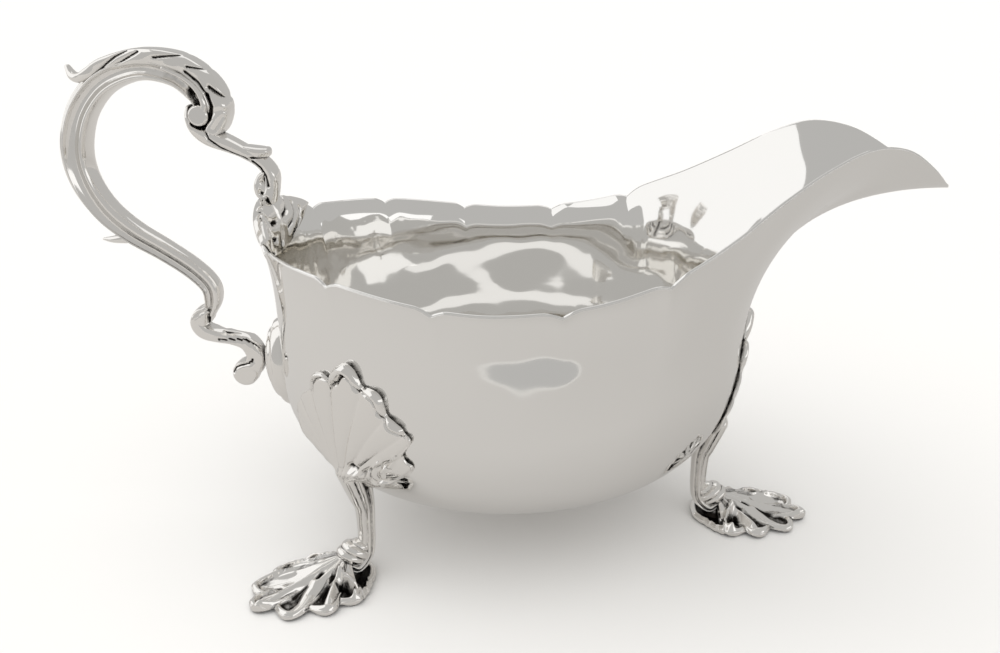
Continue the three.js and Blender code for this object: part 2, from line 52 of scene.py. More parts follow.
# The bowl's own sizes in millimetres. Its lip points along +X and the handle is at its back
bowl = {
    "wall": 1.2,
    "floorZ": 10.4,
    "keelX": 0.5,
    "bellyMidX": 2.0,
    "bellyFrontX": 56.1,
    "bellyBackX": -51.2,
    "bellyHalfWidth": 44.6,
    "bellyBackZ": 44.4,
    "bellyFrontZ": 49.6,
    "sidePower": 2.25,
    "frontPower": 2.45,
    "backPower": 2.32,
    "rimMidX": -0.6,
    "rimBackX": -54.4,
    "rimHalfWidth": 45.4,
    "lipTipX": 98.0,
    "notchDepth": 1.25,
    "notchReach": 3.6,
    "notchPower": 1.6,
    "notchAngles": (57, 77, 101.5, 126, 152),
    # plan of the edge: angle, x, half width; the last row is one that the curve heads for
    "edgePlan": (
        (0, 98, 0), (4, 95.8, 6.2), (8, 90.5, 11.6), (14, 82.5, 17.2), (20, 74, 21.6), (28, 65.2, 24.7),
        (36, 56.4, 28), (44, 47, 33.7), (52, 38, 38.8), (60, 30.3, 40.8), (72, 18.2, 43.8),
        (90, -0.6, 45.4), (108, -17.2, 43.2),
    ),
    # height of the edge: angle, z
    "edgeHeight": (
        (0, 85), (4, 85.8), (8, 90), (14, 94.8), (20, 95.9), (28, 92.6), (36, 87.4), (44, 81.6), (52, 77),
        (58, 74.2), (72, 70.6), (88, 69.2), (101, 70), (126, 73.1), (152, 74.9), (168, 76.9), (180, 78.4),
    ),
    # how the wall comes up to the edge: angle, reach along x, along y, and drop
    "edgeApproach": (
        (0, -27, 0, 0.4), (8, -19, -4.6, -4.2), (14, -11.5, -5, -8.6), (20, -5.8, -4.2, -9.4),
        (28, -2.8, -3.3, -8.2), (36, -1.2, -2.8, -6.2), (52, 0.4, -2.8, -4.8), (90, 0, -3, -5),
        (150, 2.4, -1.4, -5.5), (180, 4.4, 0, -7),
    ),
    # how far the wall rises from the belly before it turns: angle, rise
    "wallRise": ((0, 24), (20, 26), (36, 20), (52, 12), (90, 9), (180, 10)),
    # section over the edge: share of the thickness, millimetres down the wall
    "brim": (
        (0, 0.24), (0.03, 0.12), (0.12, 0.03), (0.28, 0), (0.5, 0), (0.72, 0), (0.88, 0.03), (0.97, 0.12),
        (1, 0.24),
    ),
    # the wall thins from this share of its way up, by this share of its thickness
    "taperFrom": 1.7,
    "brimTaper": 0.5,
    "around": 480,
    "up": 70,
    "crowding": 1.25,
}
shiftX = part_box("bowl")[1].x / mm - bowl["lipTipX"]  # from the sizes above to the frame


# The row of a sorted list after which a place comes; the last one can't be it
def rowBefore(rows, at):
    return max(i for i in range(len(rows) - 1) if i == 0 or at > rows[i][0])


# Smooth value between rows, level at both ends save in column 2, which runs across the bowl
def between(rows, angle, column):
    i = rowBefore(rows, angle)

    def slope(k):
        if column != 2 and k in (0, len(rows) - 1):
            return 0.0
        a, b = rows[max(k - 1, 0)], rows[min(k + 1, len(rows) - 1)]
        return (b[column] - a[column]) / (b[0] - a[0])

    low, high = rows[i], rows[i + 1]
    span = high[0] - low[0]
    t = (angle - low[0]) / span
    start = (2 * t**3 - 3 * t**2 + 1) * low[column] + (t**3 - 2 * t**2 + t) * slope(i) * span
    return start + (3 * t**2 - 2 * t**3) * high[column] + (t**3 - t**2) * slope(i + 1) * span


def cos(degrees):
    return math.cos(radians(degrees))


def sin(degrees):
    return math.sin(radians(degrees))


def clamp(x, low=0.0, high=1.0):
    return max(low, min(high, x))


def bump(x, middle, width):
    return exp(-(((x - middle) / width) ** 2))


def notch(angle):
    near = min(abs(a - angle) for a in bowl["notchAngles"])
    return bowl["notchDepth"] * max(0.0, 1 - near / bowl["notchReach"]) ** bowl["notchPower"]


def edgePoint(angle):
    z = between(bowl["edgeHeight"], angle, 1) - notch(angle)
    if angle <= 90:
        return Vector((between(bowl["edgePlan"], angle, 1), between(bowl["edgePlan"], angle, 2), z))
    reach = bowl["rimMidX"] - bowl["rimBackX"]
    return Vector((bowl["rimMidX"] + reach * cos(angle), bowl["rimHalfWidth"] * sin(angle), z))


def bellyZ(angle):
    return bowl["bellyBackZ"] + (bowl["bellyFrontZ"] - bowl["bellyBackZ"]) * (1 + cos(angle)) / 2


def bellyPower(angle):
    end = bowl["frontPower"] if angle < 90 else bowl["backPower"]
    return bowl["sidePower"] + (end - bowl["sidePower"]) * cos(angle) ** 2


def bellyPoint(angle, share=1.0):
    ahead = bowl["bellyFrontX"] - bowl["bellyMidX"]
    behind = bowl["bellyMidX"] - bowl["bellyBackX"]
    power = bellyPower(angle)
    out = math.sin(share * pi / 2) ** (2 / power)
    up = 1 - max(0.0, math.cos(share * pi / 2)) ** (2 / power)
    mid = bowl["keelX"] + (bowl["bellyMidX"] - bowl["keelX"]) * out
    x = mid + (ahead if angle < 90 else behind) * cos(angle) * out
    z = bowl["floorZ"] + (bellyZ(angle) - bowl["floorZ"]) * up
    return Vector((x, bowl["bellyHalfWidth"] * sin(angle) * out, z))


def bellyShareAt(angle, z):
    up = (z - bowl["floorZ"]) / (bellyZ(angle) - bowl["floorZ"])
    return math.acos((1 - up) ** (bellyPower(angle) / 2)) * 2 / pi


# Outside of the bowl: angle round it, share 0 at the bottom, 1 at the belly and 2 at the edge
def bowlPoint(anyAngle, share):
    turned = anyAngle % 360
    angle = 360 - turned if turned > 180 else turned
    if share <= 1:
        p = bellyPoint(angle, share)
    else:
        start, end = bellyPoint(angle), edgePoint(angle)
        approach = Vector([between(bowl["edgeApproach"], angle, c) for c in (1, 2, 3)])
        leave = start + Vector((0, 0, between(bowl["wallRise"], angle, 1)))
        t = share - 1
        p = start * (1 - t) ** 3 + leave * 3 * t * (1 - t) ** 2
        p += (end + approach) * 3 * t**2 * (1 - t) + end * t**3
    if turned > 180:
        p.y = -p.y
    return p


def bowlNormal(angle, share):
    turn, step = 0.5, 0.01
    low, high = max(share - step, 2 * step), min(share + step, 2.0)
    across = bowlPoint(angle + turn, share) - bowlPoint(angle - turn, share)
    return across.cross(bowlPoint(angle, high) - bowlPoint(angle, low)).normalized()


# A grid of faces: place(i, j) gives the points, i going round and j along, and they remember both
def sheet(around, along, place):
    bm = bmesh.new()
    bmesh.ops.create_grid(bm, x_segments=around, y_segments=along, size=0.5)
    column, row = bm.verts.layers.float.new("column"), bm.verts.layers.float.new("row")
    for v in bm.verts:
        v[column], v[row] = round((v.co.x + 0.5) * around), round((v.co.y + 0.5) * along)
        v.co = place(int(v[column]), int(v[row]))
    bmesh.ops.remove_doubles(bm, verts=bm.verts, dist=weld)
    bmesh.ops.dissolve_degenerate(bm, edges=bm.edges, dist=weld / 3)
    bmesh.ops.recalc_face_normals(bm, faces=bm.faces)
    return bm


allAxes = dict.fromkeys(("use_axis_x", "use_axis_y", "use_axis_z"), True)


# Marks how hollow each point is, for the dark tarnish that polishing leaves in the hollows and the shade
# painted there with it: 1 where it lies depth or more below its neighbours, reach rings round it
def markHollows(bm, reach, depth):
    smoothed = bm.copy()
    for _ in range(reach):
        bmesh.ops.smooth_vert(smoothed, verts=smoothed.verts, factor=1.0, **allAxes)
    layer = bm.verts.layers.float.new("hollow")
    bm.normal_update()
    smoothed.verts.ensure_lookup_table()
    for v in bm.verts:
        rise = (smoothed.verts[v.index].co - v.co).dot(v.normal)
        v[layer] = clamp(rise / depth)
    smoothed.free()
    return bm


# Smooth value between rows, level at each
def along(rows, at, column):
    i = rowBefore(rows, at)
    t = clamp((at - rows[i][0]) / (rows[i + 1][0] - rows[i][0]))
    t = t * t * (3 - 2 * t)
    return rows[i][column] * (1 - t) + rows[i + 1][column] * t


# The smooth curve through a list of points, at a share of the way
def curveAt(points, share):
    run = share * (len(points) - 1)
    i = min(int(run), len(points) - 2)
    t = run - i
    first, last = points[0], points[-1]
    before = points[i - 1] if i else [2 * a - b for a, b in zip(first, points[1])]
    after = points[i + 2] if i + 2 < len(points) else [2 * a - b for a, b in zip(last, points[-2])]
    result = []
    for a, b, c, d in zip(before, points[i], points[i + 1], after):
        result.append(b + 0.5 * t * (c - a + t * (2 * a - 5 * b + 4 * c - d + t * (3 * (b - c) + d - a))))
    return result


# Share of a ridge or groove that follows a line of points: 1 on the line, fading to its sides
def nearLine(x, y, line, width):
    best = math.inf
    for (ax, ay), (bx, by) in zip(line, line[1:]):
        dx, dy = bx - ax, by - ay
        t = clamp(((x - ax) * dx + (y - ay) * dy) / (dx * dx + dy * dy))
        best = min(best, (ax + dx * t - x) ** 2 + (ay + dy * t - y) ** 2)
    return exp(-best / width**2)


def meshFrom(name, bm):
    mesh = bpy.data.meshes.new(name)
    bm.to_mesh(mesh)
    bm.free()
    return mesh


def addObject(name, data):
    thing = bpy.data.objects.new(name, data)
    scene.collection.objects.link(thing)
    return thing


# Puts a finished mesh, in metres, on the jug's one body, in place of the CAD's nodes
def finish(name, bm, look, *nodes):
    slotName, material = look
    bmesh.ops.scale(bm, vec=(mm, mm, mm), verts=bm.verts)
    bmesh.ops.translate(bm, vec=(shiftX * mm, 0, 0), verts=bm.verts)
    for f in bm.faces:
        f.smooth = True
    piece = addObject(name, meshFrom(name, bm))
    piece.data.materials.append(material)
    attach(piece, "root")
    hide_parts(*nodes)


# Linear colour of an sRGB hex value
def colour(hexValue, alpha=1.0):
    parts = [int(hexValue[i:i + 2], 16) / 255 for i in (1, 3, 5)]
    return (*[p / 12.92 if p <= 0.04045 else ((p + 0.055) / 1.055) ** 2.4 for p in parts], alpha)


# Adds a node with its settings; each input is a value or another node's output
def addNode(tree, kind, settings=None, inputs=None):
    node = tree.nodes.new(kind)
    for key, value in (settings or {}).items():
        setattr(node, key, value)
    for key, value in (inputs or {}).items():
        socket = node.inputs[key]
        if isinstance(value, bpy.types.NodeSocket):
            tree.links.new(value, socket)
        else:
            socket.default_value = value
    return node


def noise(tree, spot, scale, detail):
    inputs = {"Vector": spot, "Scale": scale, "Detail": detail}
    return addNode(tree, "ShaderNodeTexNoise", inputs=inputs).outputs["Fac"]


def maths(tree, operation, *values):
    return addNode(tree, "ShaderNodeMath", {"operation": operation}, dict(enumerate(values))).outputs[0]


def mapped(tree, value, start, full, low=0.0, high=1.0, kind="LINEAR"):
    inputs = {"Value": value, "From Min": start, "From Max": full, "To Min": low, "To Max": high}
    return addNode(tree, "ShaderNodeMapRange", {"interpolation_type": kind}, inputs).outputs["Result"]


def mixed(tree, share, first, second):
    inputs = {0: share, 6: colour(first), 7: colour(second)}
    return addNode(tree, "ShaderNodeMix", {"data_type": "RGBA"}, inputs).outputs[2]


def bumped(tree, height, depth, strength, **over):
    inputs = {"Height": height, "Distance": depth, "Strength": strength, **over}
    return addNode(tree, "ShaderNodeBump", inputs=inputs).outputs["Normal"]


def shaded(tree, kind, inputs):
    shader = addNode(tree, kind, inputs=inputs)
    addNode(tree, "ShaderNodeOutputMaterial", inputs={"Surface": shader.outputs["BSDF"]})


# A new material with its node tree, and the place on the piece that its textures follow
def newMaterial(name):
    material = bpy.data.materials.new(name)
    material.use_nodes = True
    tree = material.node_tree
    tree.nodes.clear()
    return material, tree, addNode(tree, "ShaderNodeTexCoord").outputs["Object"]


raisedLook = {
    "silver": "#F4F3F1",
    "roughness": 0.05,
    # hammer waves: scale and detail of their noise, depth in metres, strength
    "waves": (70.0, 1.0),
    "waveDepth": 0.0005,
    "waveStrength": 0.9,
}


# Raised sheet silver, planished and polished bright: soft hammer waves bend what it mirrors
def raisedSilver():
    look = raisedLook
    material, tree, spot = newMaterial("raisedSilver")
    waves = noise(tree, spot, *look["waves"])
    shaded(tree, "ShaderNodeBsdfPrincipled", {
        "Base Color": colour(look["silver"]), "Metallic": 1.0, "Roughness": look["roughness"],
        "Normal": bumped(tree, waves, look["waveDepth"], look["waveStrength"]),
    })
    return material


castLook = {
    "silver": "#F3F1EE",
    "tarnishAndShadeColour": "#2B2825",
    # roughness where it is bright and where it is dark
    "roughness": (0.1, 0.45),
    # sand grain: scale and detail of its noise, how far it varies the darkening, and the least share
    "grain": (900.0, 3.0),
    "mottle": 1.2,
    "leastDarkening": 0.4,
    # crevices, painted shade by how enclosed each point is: reach in metres, openness where this shade
    # starts and where it is full, and its share
    "crevice": (0.003, 0.7, 0.25, 0.7),
    # sum of the hollow tarnish and the painted crevice shade, where the dark colour starts and where it is
    # full
    "darkening": (0.3, 0.8),
    "waves": (260.0, 2.0),
    "waveStrength": 0.2,
    "pitStrength": 0.6,
    "bumpDepth": 0.0003,
}


# Cast, chased and polished silver: the raised parts are bright, and the hollows that no buff reaches
# keep a dark tarnish, mottled like the grain of the sand it was cast in. The same dark colour also
# paints the shade in the hollows and crevices
def castSilver():
    look = castLook
    material, tree, spot = newMaterial("castSilver")
    hollow = addNode(tree, "ShaderNodeAttribute", {"attribute_name": "hollow"}).outputs["Fac"]
    reach, start, full, most = look["crevice"]
    # ambient occlusion: the crevices and the gaps between pieces get painted shade
    openness = addNode(tree, "ShaderNodeAmbientOcclusion", {"samples": 6}, {"Distance": reach})
    deep = mapped(tree, openness.outputs["AO"], start, full, high=most)
    grain = noise(tree, spot, *look["grain"])
    uneven = maths(tree, "MULTIPLY_ADD", grain, look["mottle"], look["leastDarkening"])
    tarnishAndShadeSum = maths(tree, "MULTIPLY", maths(tree, "ADD", hollow, deep), uneven)
    tarnishAndShade = mapped(tree, tarnishAndShadeSum, *look["darkening"], kind="SMOOTHSTEP")
    waves = noise(tree, spot, *look["waves"])
    soft = bumped(tree, waves, look["bumpDepth"], look["waveStrength"])
    pits = maths(tree, "MULTIPLY", grain, tarnishAndShade)
    # the dark colour paints both the tarnish and the shade in hollows and crevices
    shaded(tree, "ShaderNodeBsdfPrincipled", {
        "Base Color": mixed(tree, tarnishAndShade, look["silver"], look["tarnishAndShadeColour"]), "Metallic": 1.0,
        "Roughness": mapped(tree, tarnishAndShade, 0.0, 1.0, *look["roughness"]),
        "Normal": bumped(tree, pits, look["bumpDepth"], look["pitStrength"], Normal=soft),
    })
    return material


raised = ("raised_silver", raisedSilver())
cast = ("cast_silver", castSilver())


def makeBowl():
    around = bowl["around"]
    step = 360 / around
    turns = [i * step for i in range(around)]
    for a in bowl["notchAngles"]:
        for exact in (a, 360 - a):
            turns[round(exact / step)] = exact
    shares = [2 * (1 - (1 - j / bowl["up"]) ** bowl["crowding"]) for j in range(bowl["up"] + 1)]
    pole = Vector((bowl["keelX"], 0, bowl["floorZ"]))
    grid = [[bowlPoint(turn, share) if share else pole for share in shares] for turn in turns]
    last = bowl["up"]

    def offWall(i, j):
        if j == 0:
            return Vector((0, 0, -1))
        row = grid[i]
        across = grid[(i + 1) % around][j] - grid[i - 1][j]
        return across.cross(row[min(j + 1, last)] - row[j - 1]).normalized()

    def place(i, j):
        i = i % around
        if j < last:
            return grid[i][j]
        brim = j - last
        if brim < len(bowl["brim"]):
            across, drop = bowl["brim"][brim]
            thick = bowl["wall"] * (1 - bowl["brimTaper"])
            up = (grid[i][last] - grid[i][last - 1]).normalized()
            return grid[i][last] - offWall(i, last) * across * thick - up * drop
        k = 2 * last + len(bowl["brim"]) - 1 - j
        thin = clamp((shares[k] - bowl["taperFrom"]) / (2 - bowl["taperFrom"]))
        return grid[i][k] - offWall(i, k) * bowl["wall"] * (1 - bowl["brimTaper"] * thin**2)

    finish("silver_bowl", sheet(around, 2 * last + len(bowl["brim"]) - 1, place), raised, "bowl")


makeBowl()
print("bowl made")


# A patch of the bowl's wall: spot(x, y, lift) is x round the bowl, y up its wall and lift off it,
# in millimetres from the point of the wall at this angle and share
def wallPatch(angle, start):
    step = 0.04
    marks = []
    run = 0.0
    for k in range(1, round(2 / step)):
        after = run + (bowlPoint(angle, (k + 1) * step) - bowlPoint(angle, k * step)).length
        marks.append((k * step, run, after))
        run = after
    base = [m for m in marks if m[0] + step > start][0]
    zero = base[1] + (start - base[0]) / step * (base[2] - base[1])

    def spot(x, y, lift):
        mark = next((m for m in marks if m[2] > zero + y), marks[-1])
        share = mark[0] + step * (zero + y - mark[1]) / (mark[2] - mark[1])
        girth = (bowlPoint(angle + 1, share) - bowlPoint(angle, share)).length
        turned = angle + x / girth
        return bowlPoint(turned, share) + bowlNormal(turned, share) * lift

    return spot


# Shells that join the legs to the bowl, all from one mould
kneeShell = {
    "hingeZ": 28.4,
    "turn": 228,
    "tilt": 17,
    "standOff": 3.2,
    "edge": 0.9,
    "edgeRound": 1.4,
    "swellReach": 0.62,
    "flute": 0.4,
    "fluteCurve": 0.7,
    "grooveWidth": 0.5,
    "rollGroove": 0.42,
    # outline: angle off the axis, reach from the hinge
    "outline": (
        (-98, 9.5), (-84, 12.6), (-75, 15.2), (-64, 17.5), (-52, 19.2), (-42, 20.2), (-33, 20.9),
        (-27, 23.9), (-20, 24.9), (-16, 24.3), (-14.6, 24), (-12.5, 25.8), (-9.6, 27.6), (-5.5, 29.6),
        (-1, 29.1), (2, 27.6), (4.6, 26.2), (8, 26.8), (11.5, 27.1), (14.5, 26.6), (18, 25.1),
        (21, 23.9), (25, 24), (30, 24.3), (33.5, 23.8), (36.5, 24), (38.8, 23.2), (41, 21), (43, 19.8),
        (47, 19.5), (51, 19.9), (55, 18.8), (60, 15.8), (66, 12.4), (82, 8.2),
    ),
    # the edge sinks softly into the bowl from the first angle on, and is clean from the second
    "softFrom": 46,
    "cleanFrom": 53,
    # the plain stretch round the hinge
    "back": ((82, 8.2), (120, 6.2), (180, 5.2), (225, 6), (262, 9.5)),
    # lobes: angle where each starts, radius of its rolled edge, depth of the groove before it
    "lobes": (
        (-84, 0.12, 0), (-64, 0.12, 0.05), (-48.5, 0.14, 0.08), (-33, 0.6, 0.12), (-14.6, 1.35, 0.24),
        (4.6, 1.05, 0.14), (21, 0.95, 0.06), (33.5, 0.25, 0), (43, 0.25, 0.1), (62, 0.12, 0), (82, 0.12, 0),
    ),
    # a lip over the hinge, a pit above it and the curled rocaille beside it: points, height, half width
    "marks": (
        (((-0.8, 2.4), (1.6, 3.6), (4.2, 4.4)), 1, 0.9),
        (((2.4, 5.6), (3.2, 5.9)), -1.3, 0.55),
        (((8.6, 10.6), (7.5, 8.4), (7.2, 5.8), (8.2, 3.8), (10.6, 4.6), (12.8, 6.4)), 0.6, 0.38),
        (((9.9, 9.6), (9.2, 8), (9.3, 6.4)), 0.6, 0.38),
        (((6.2, 6.4), (5.8, 3.6), (7.2, 1.8), (9.2, 1.9), (11.6, 3.6)), 0.6, 0.38),
        (((11.9, 13.6), (11.5, 12), (10.9, 10.6)), 0.6, 0.38),
    ),
    # tuck under the edge: inwards and off the wall
    "tuck": ((0.35, 0.3), (0.9, -0.2)),
    "backing": -0.3,
    # the fan's angles take this share of the points round
    "fan": (-90, 85, 0.87),
    "around": 340,
    "fanRings": 46,
    "rollRings": 34,
    "rollStart": 4.4,
    "hollows": (5, 0.3),
}


def kneeReach(off):
    rows = kneeShell["outline"]
    if rows[0][0] <= off <= rows[-1][0]:
        return between(rows, off, 1)
    return along(kneeShell["back"], off + 360 if off < 0 else off, 1)


def kneeHeight(off, r):
    size = kneeShell
    reach = kneeReach(off)
    slope = (kneeReach(off + 0.5) - kneeReach(off - 0.5)) / radians(1) / reach
    w = (reach - r) / hypot(1, slope)
    softEdge = sqrt(clamp(w / size["edgeRound"]))
    swell = max(0.0, 1 - r / reach / size["swellReach"]) ** 2
    base = size["edge"] + (size["standOff"] - size["edge"]) * swell
    lobes = size["lobes"]
    if not lobes[0][0] <= off <= lobes[-1][0]:
        return base * softEdge
    i = max(k for k in range(len(lobes) - 1) if off >= lobes[k][0])
    crown = math.sin(pi * (off - lobes[i][0]) / (lobes[i + 1][0] - lobes[i][0]))
    height = base + size["flute"] * min(1.0, r / 10) * (max(0.0, crown) ** size["fluteCurve"] - 0.5)
    for start, _, depth in lobes:
        groove = bump(r * radians(start - off), 0, size["grooveWidth"])
        height -= depth * groove * clamp(r / 6) * clamp(w / 3)
    # the rolled edge, with a groove inside it
    roll = lobes[i][1] * max(0.2, crown) ** 0.6
    height -= 0.6 * roll * bump(w, 2.1 * roll, size["rollGroove"])
    if w < 2 * roll:
        height += roll * sqrt(max(0.0, 1 - (w / roll - 1) ** 2)) - 0.3 * clamp(1 - w / roll)
    for line, rise, width in size["marks"]:
        height += rise * nearLine(r * sin(off), r * cos(off), line, width)
    softened = clamp((off - size["softFrom"]) / 8)
    return height * (1 - softened * (1 - softEdge))


def kneeSkin(angle, tilt):
    size = kneeShell
    around = size["around"]
    spot = wallPatch(angle, bellyShareAt(min(angle, 360 - angle), size["hingeZ"]))
    rings = size["fanRings"] + size["rollRings"]
    first, last, fanShare = size["fan"]
    offs = []
    for i in range(around):
        u = i / around
        if u < fanShare:
            off = first + (last - first) * u / fanShare
        else:
            off = last + (first + 360 - last) * (u - fanShare) / (1 - fanShare)
        offs.append(off if off <= 180 else off - 360)
    reaches = [kneeReach(off) for off in offs]

    def place(i, j):
        off, reach = offs[i % around], reaches[i % around]
        start = max(reach - size["rollStart"], 0.6 * reach)
        if j <= size["fanRings"]:
            r = start * j / size["fanRings"]
        else:
            done = clamp((j - size["fanRings"]) / size["rollRings"])
            r = start + (reach - start) * math.sin(done * pi / 2)
        lift = kneeHeight(off, r)
        under = j - rings - 1
        if under >= len(size["tuck"]):
            r, lift = reach * (1 - (under - 1) / 4), size["backing"]
        elif under >= 0:
            inwards, lift = size["tuck"][under]
            r = reach - inwards
        return spot(r * sin(off + tilt), r * cos(off + tilt), lift)

    bm = sheet(around, rings + 6, place)
    markHollows(bm, *size["hollows"])
    column, row = bm.verts.layers.float["column"], bm.verts.layers.float["row"]
    hollow = bm.verts.layers.float["hollow"]
    for v in bm.verts:
        cleanSide = offs[int(v[column]) % around] > size["cleanFrom"]
        if cleanSide and v[row] > size["fanRings"] / 2 or v[row] > rings - 5:
            v[hollow] = 0
    return bm


def mirrored(bm):
    other = bm.copy()
    bmesh.ops.scale(other, vec=(1, -1, 1), verts=other.verts)
    bmesh.ops.reverse_faces(other, faces=other.faces)
    return other


nearShell = kneeSkin(kneeShell["turn"], kneeShell["tilt"])
finish("kneeShellLeft", mirrored(nearShell), cast, "knee_shell_left")
finish("kneeShellRight", nearShell, cast, "knee_shell_right")
finish("kneeShellFront", kneeSkin(0, 0), cast, "knee_shell_front")
print("knee shells made")


# A closed skin with rounded ends along a path in an upright plane. Stations are x, z, half thickness and
# half width; section is a ring of points, as shares of the two, which change(out, across, way) can move
def sweep(stations, section, steps, change=None):
    cap, bulge, near = 5, 0.8, 0.002
    frames = []
    for k in range(steps + 1):
        share = k / steps
        x, z, half, side = curveAt(stations, share)
        x0, z0 = curveAt(stations, max(0.0, share - near))[:2]
        x1, z1 = curveAt(stations, min(1.0, share + near))[:2]
        length = hypot(x1 - x0, z1 - z0)
        frames.append((x, z, half, side, (x1 - x0) / length, (z1 - z0) / length))

    def place(i, j):
        k = min(max(j - cap, 0), steps)
        x, z, half, side, tx, tz = frames[k]
        r, y = section[i % len(section)]
        if change:
            r, y = change(r, y, k / steps)
        end = min(j, 2 * cap + steps - j)
        shrink, shift = 1.0, 0.0
        if end < cap:
            shrink = math.sin(end / cap * pi / 2)
            shift = math.cos(end / cap * pi / 2) * half * (-bulge if j < cap else bulge)
        r, y = r * half * shrink, y * side * shrink
        return Vector((x + tz * r + tx * shift, y, z - tx * r + tz * shift))

    return sheet(len(section), steps + 2 * cap, place)


# A ring of count points on the smooth closed curve through some rows
def closedCurve(rows, count):
    loop = [rows[-1], *rows, *rows[:2]]
    return [curveAt(loop, (1 + k / count * len(rows)) / (len(loop) - 1)) for k in range(count)]


# The same for a section of which the rows list one half
def ring(half, count):
    return closedCurve([*half, *((r, -y) for r, y in reversed(half[1:-1]))], count)


def joined(*parts):
    whole = bmesh.new()
    for part in parts:
        mesh = meshFrom("part", part)
        whole.from_mesh(mesh)
        bpy.data.meshes.remove(mesh)
    return whole


# Legs: a fluted shaft that swells to the knee and ends in a folded cuff over the foot
leg = {
    "height": 28.4,
    # reach, share of the height, half depth, half width
    "stations": (
        (2.4, 0.951, 3.1, 4.7), (1.1, 0.806, 2.9, 3.9), (0.3, 0.7, 2.6, 3.1), (-0.3, 0.6, 2.15, 2.35),
        (-0.4, 0.44, 1.95, 2), (-0.3, 0.3, 1.9, 2), (0.4, 0.19, 1.9, 2.4), (2.6, 0.12, 1.8, 2.8),
        (4.2, 0.15, 1.4, 2.6),
    ),
    "section": (
        (1, 0), (0.96, 0.4), (0.78, 0.74), (0.62, 0.8), (0.46, 0.66), (0.28, 0.72), (0.14, 0.94), (0, 1),
        (-0.14, 0.92), (-0.3, 0.78), (-0.56, 0.8), (-0.8, 0.66), (-0.96, 0.36), (-1, 0),
    ),
    "cuffMiddle": (3.1, 0, 6.3),
    "cuffSize": (3.9, 3.3, 3.2),
    "cuffCore": 0.86,
    # folds of the cuff: their direction, distance, start, height over the core and roundness
    "foldSlope": (0.65, -0.76),
    "foldPitch": 2.3,
    "foldStart": 0.2,
    "fold": 0.15278,
    "foldCurve": 0.6,
    "cuffCount": (96, 60),
    "places": {"front": (50.2, 0, 0), "left": (-29.56, 26.46, 147), "right": (-29.56, -26.46, -147)},
    "hollows": (5, 0.16),
}


def legSkin():
    stations = [(x, up * leg["height"], half, side) for x, up, half, side in leg["stations"]]
    shaft = sweep(stations, ring(leg["section"], 72), 90)
    middle = Vector(leg["cuffMiddle"])
    around, up = leg["cuffCount"]

    def cuffPlace(i, j):
        turn, rise = 2 * pi * i / around, pi * (j / up - 0.5)
        axis = Vector((math.cos(rise) * math.cos(turn), math.sin(rise), math.cos(rise) * math.sin(turn)))
        p = middle + Vector([a * s for a, s in zip(axis, leg["cuffSize"])])
        across = p.x * leg["foldSlope"][0] + p.z * leg["foldSlope"][1]
        wave = abs(math.sin(pi * (across / leg["foldPitch"] + leg["foldStart"])))
        return middle + (p - middle) * (leg["cuffCore"] + leg["fold"] * wave ** leg["foldCurve"])

    return markHollows(joined(shaft, sheet(around, up, cuffPlace)), *leg["hollows"])


def stood(bm, place):
    x, y, heading = place
    other = bm.copy()
    bmesh.ops.rotate(other, verts=other.verts, matrix=Matrix.Rotation(radians(heading), 3, "Z"))
    bmesh.ops.translate(other, verts=other.verts, vec=(x, y, 0))
    return other


legShape = legSkin()
for side, place in leg["places"].items():
    finish("leg" + side.capitalize(), stood(legShape, place), cast, "leg_" + side)
print("legs made")

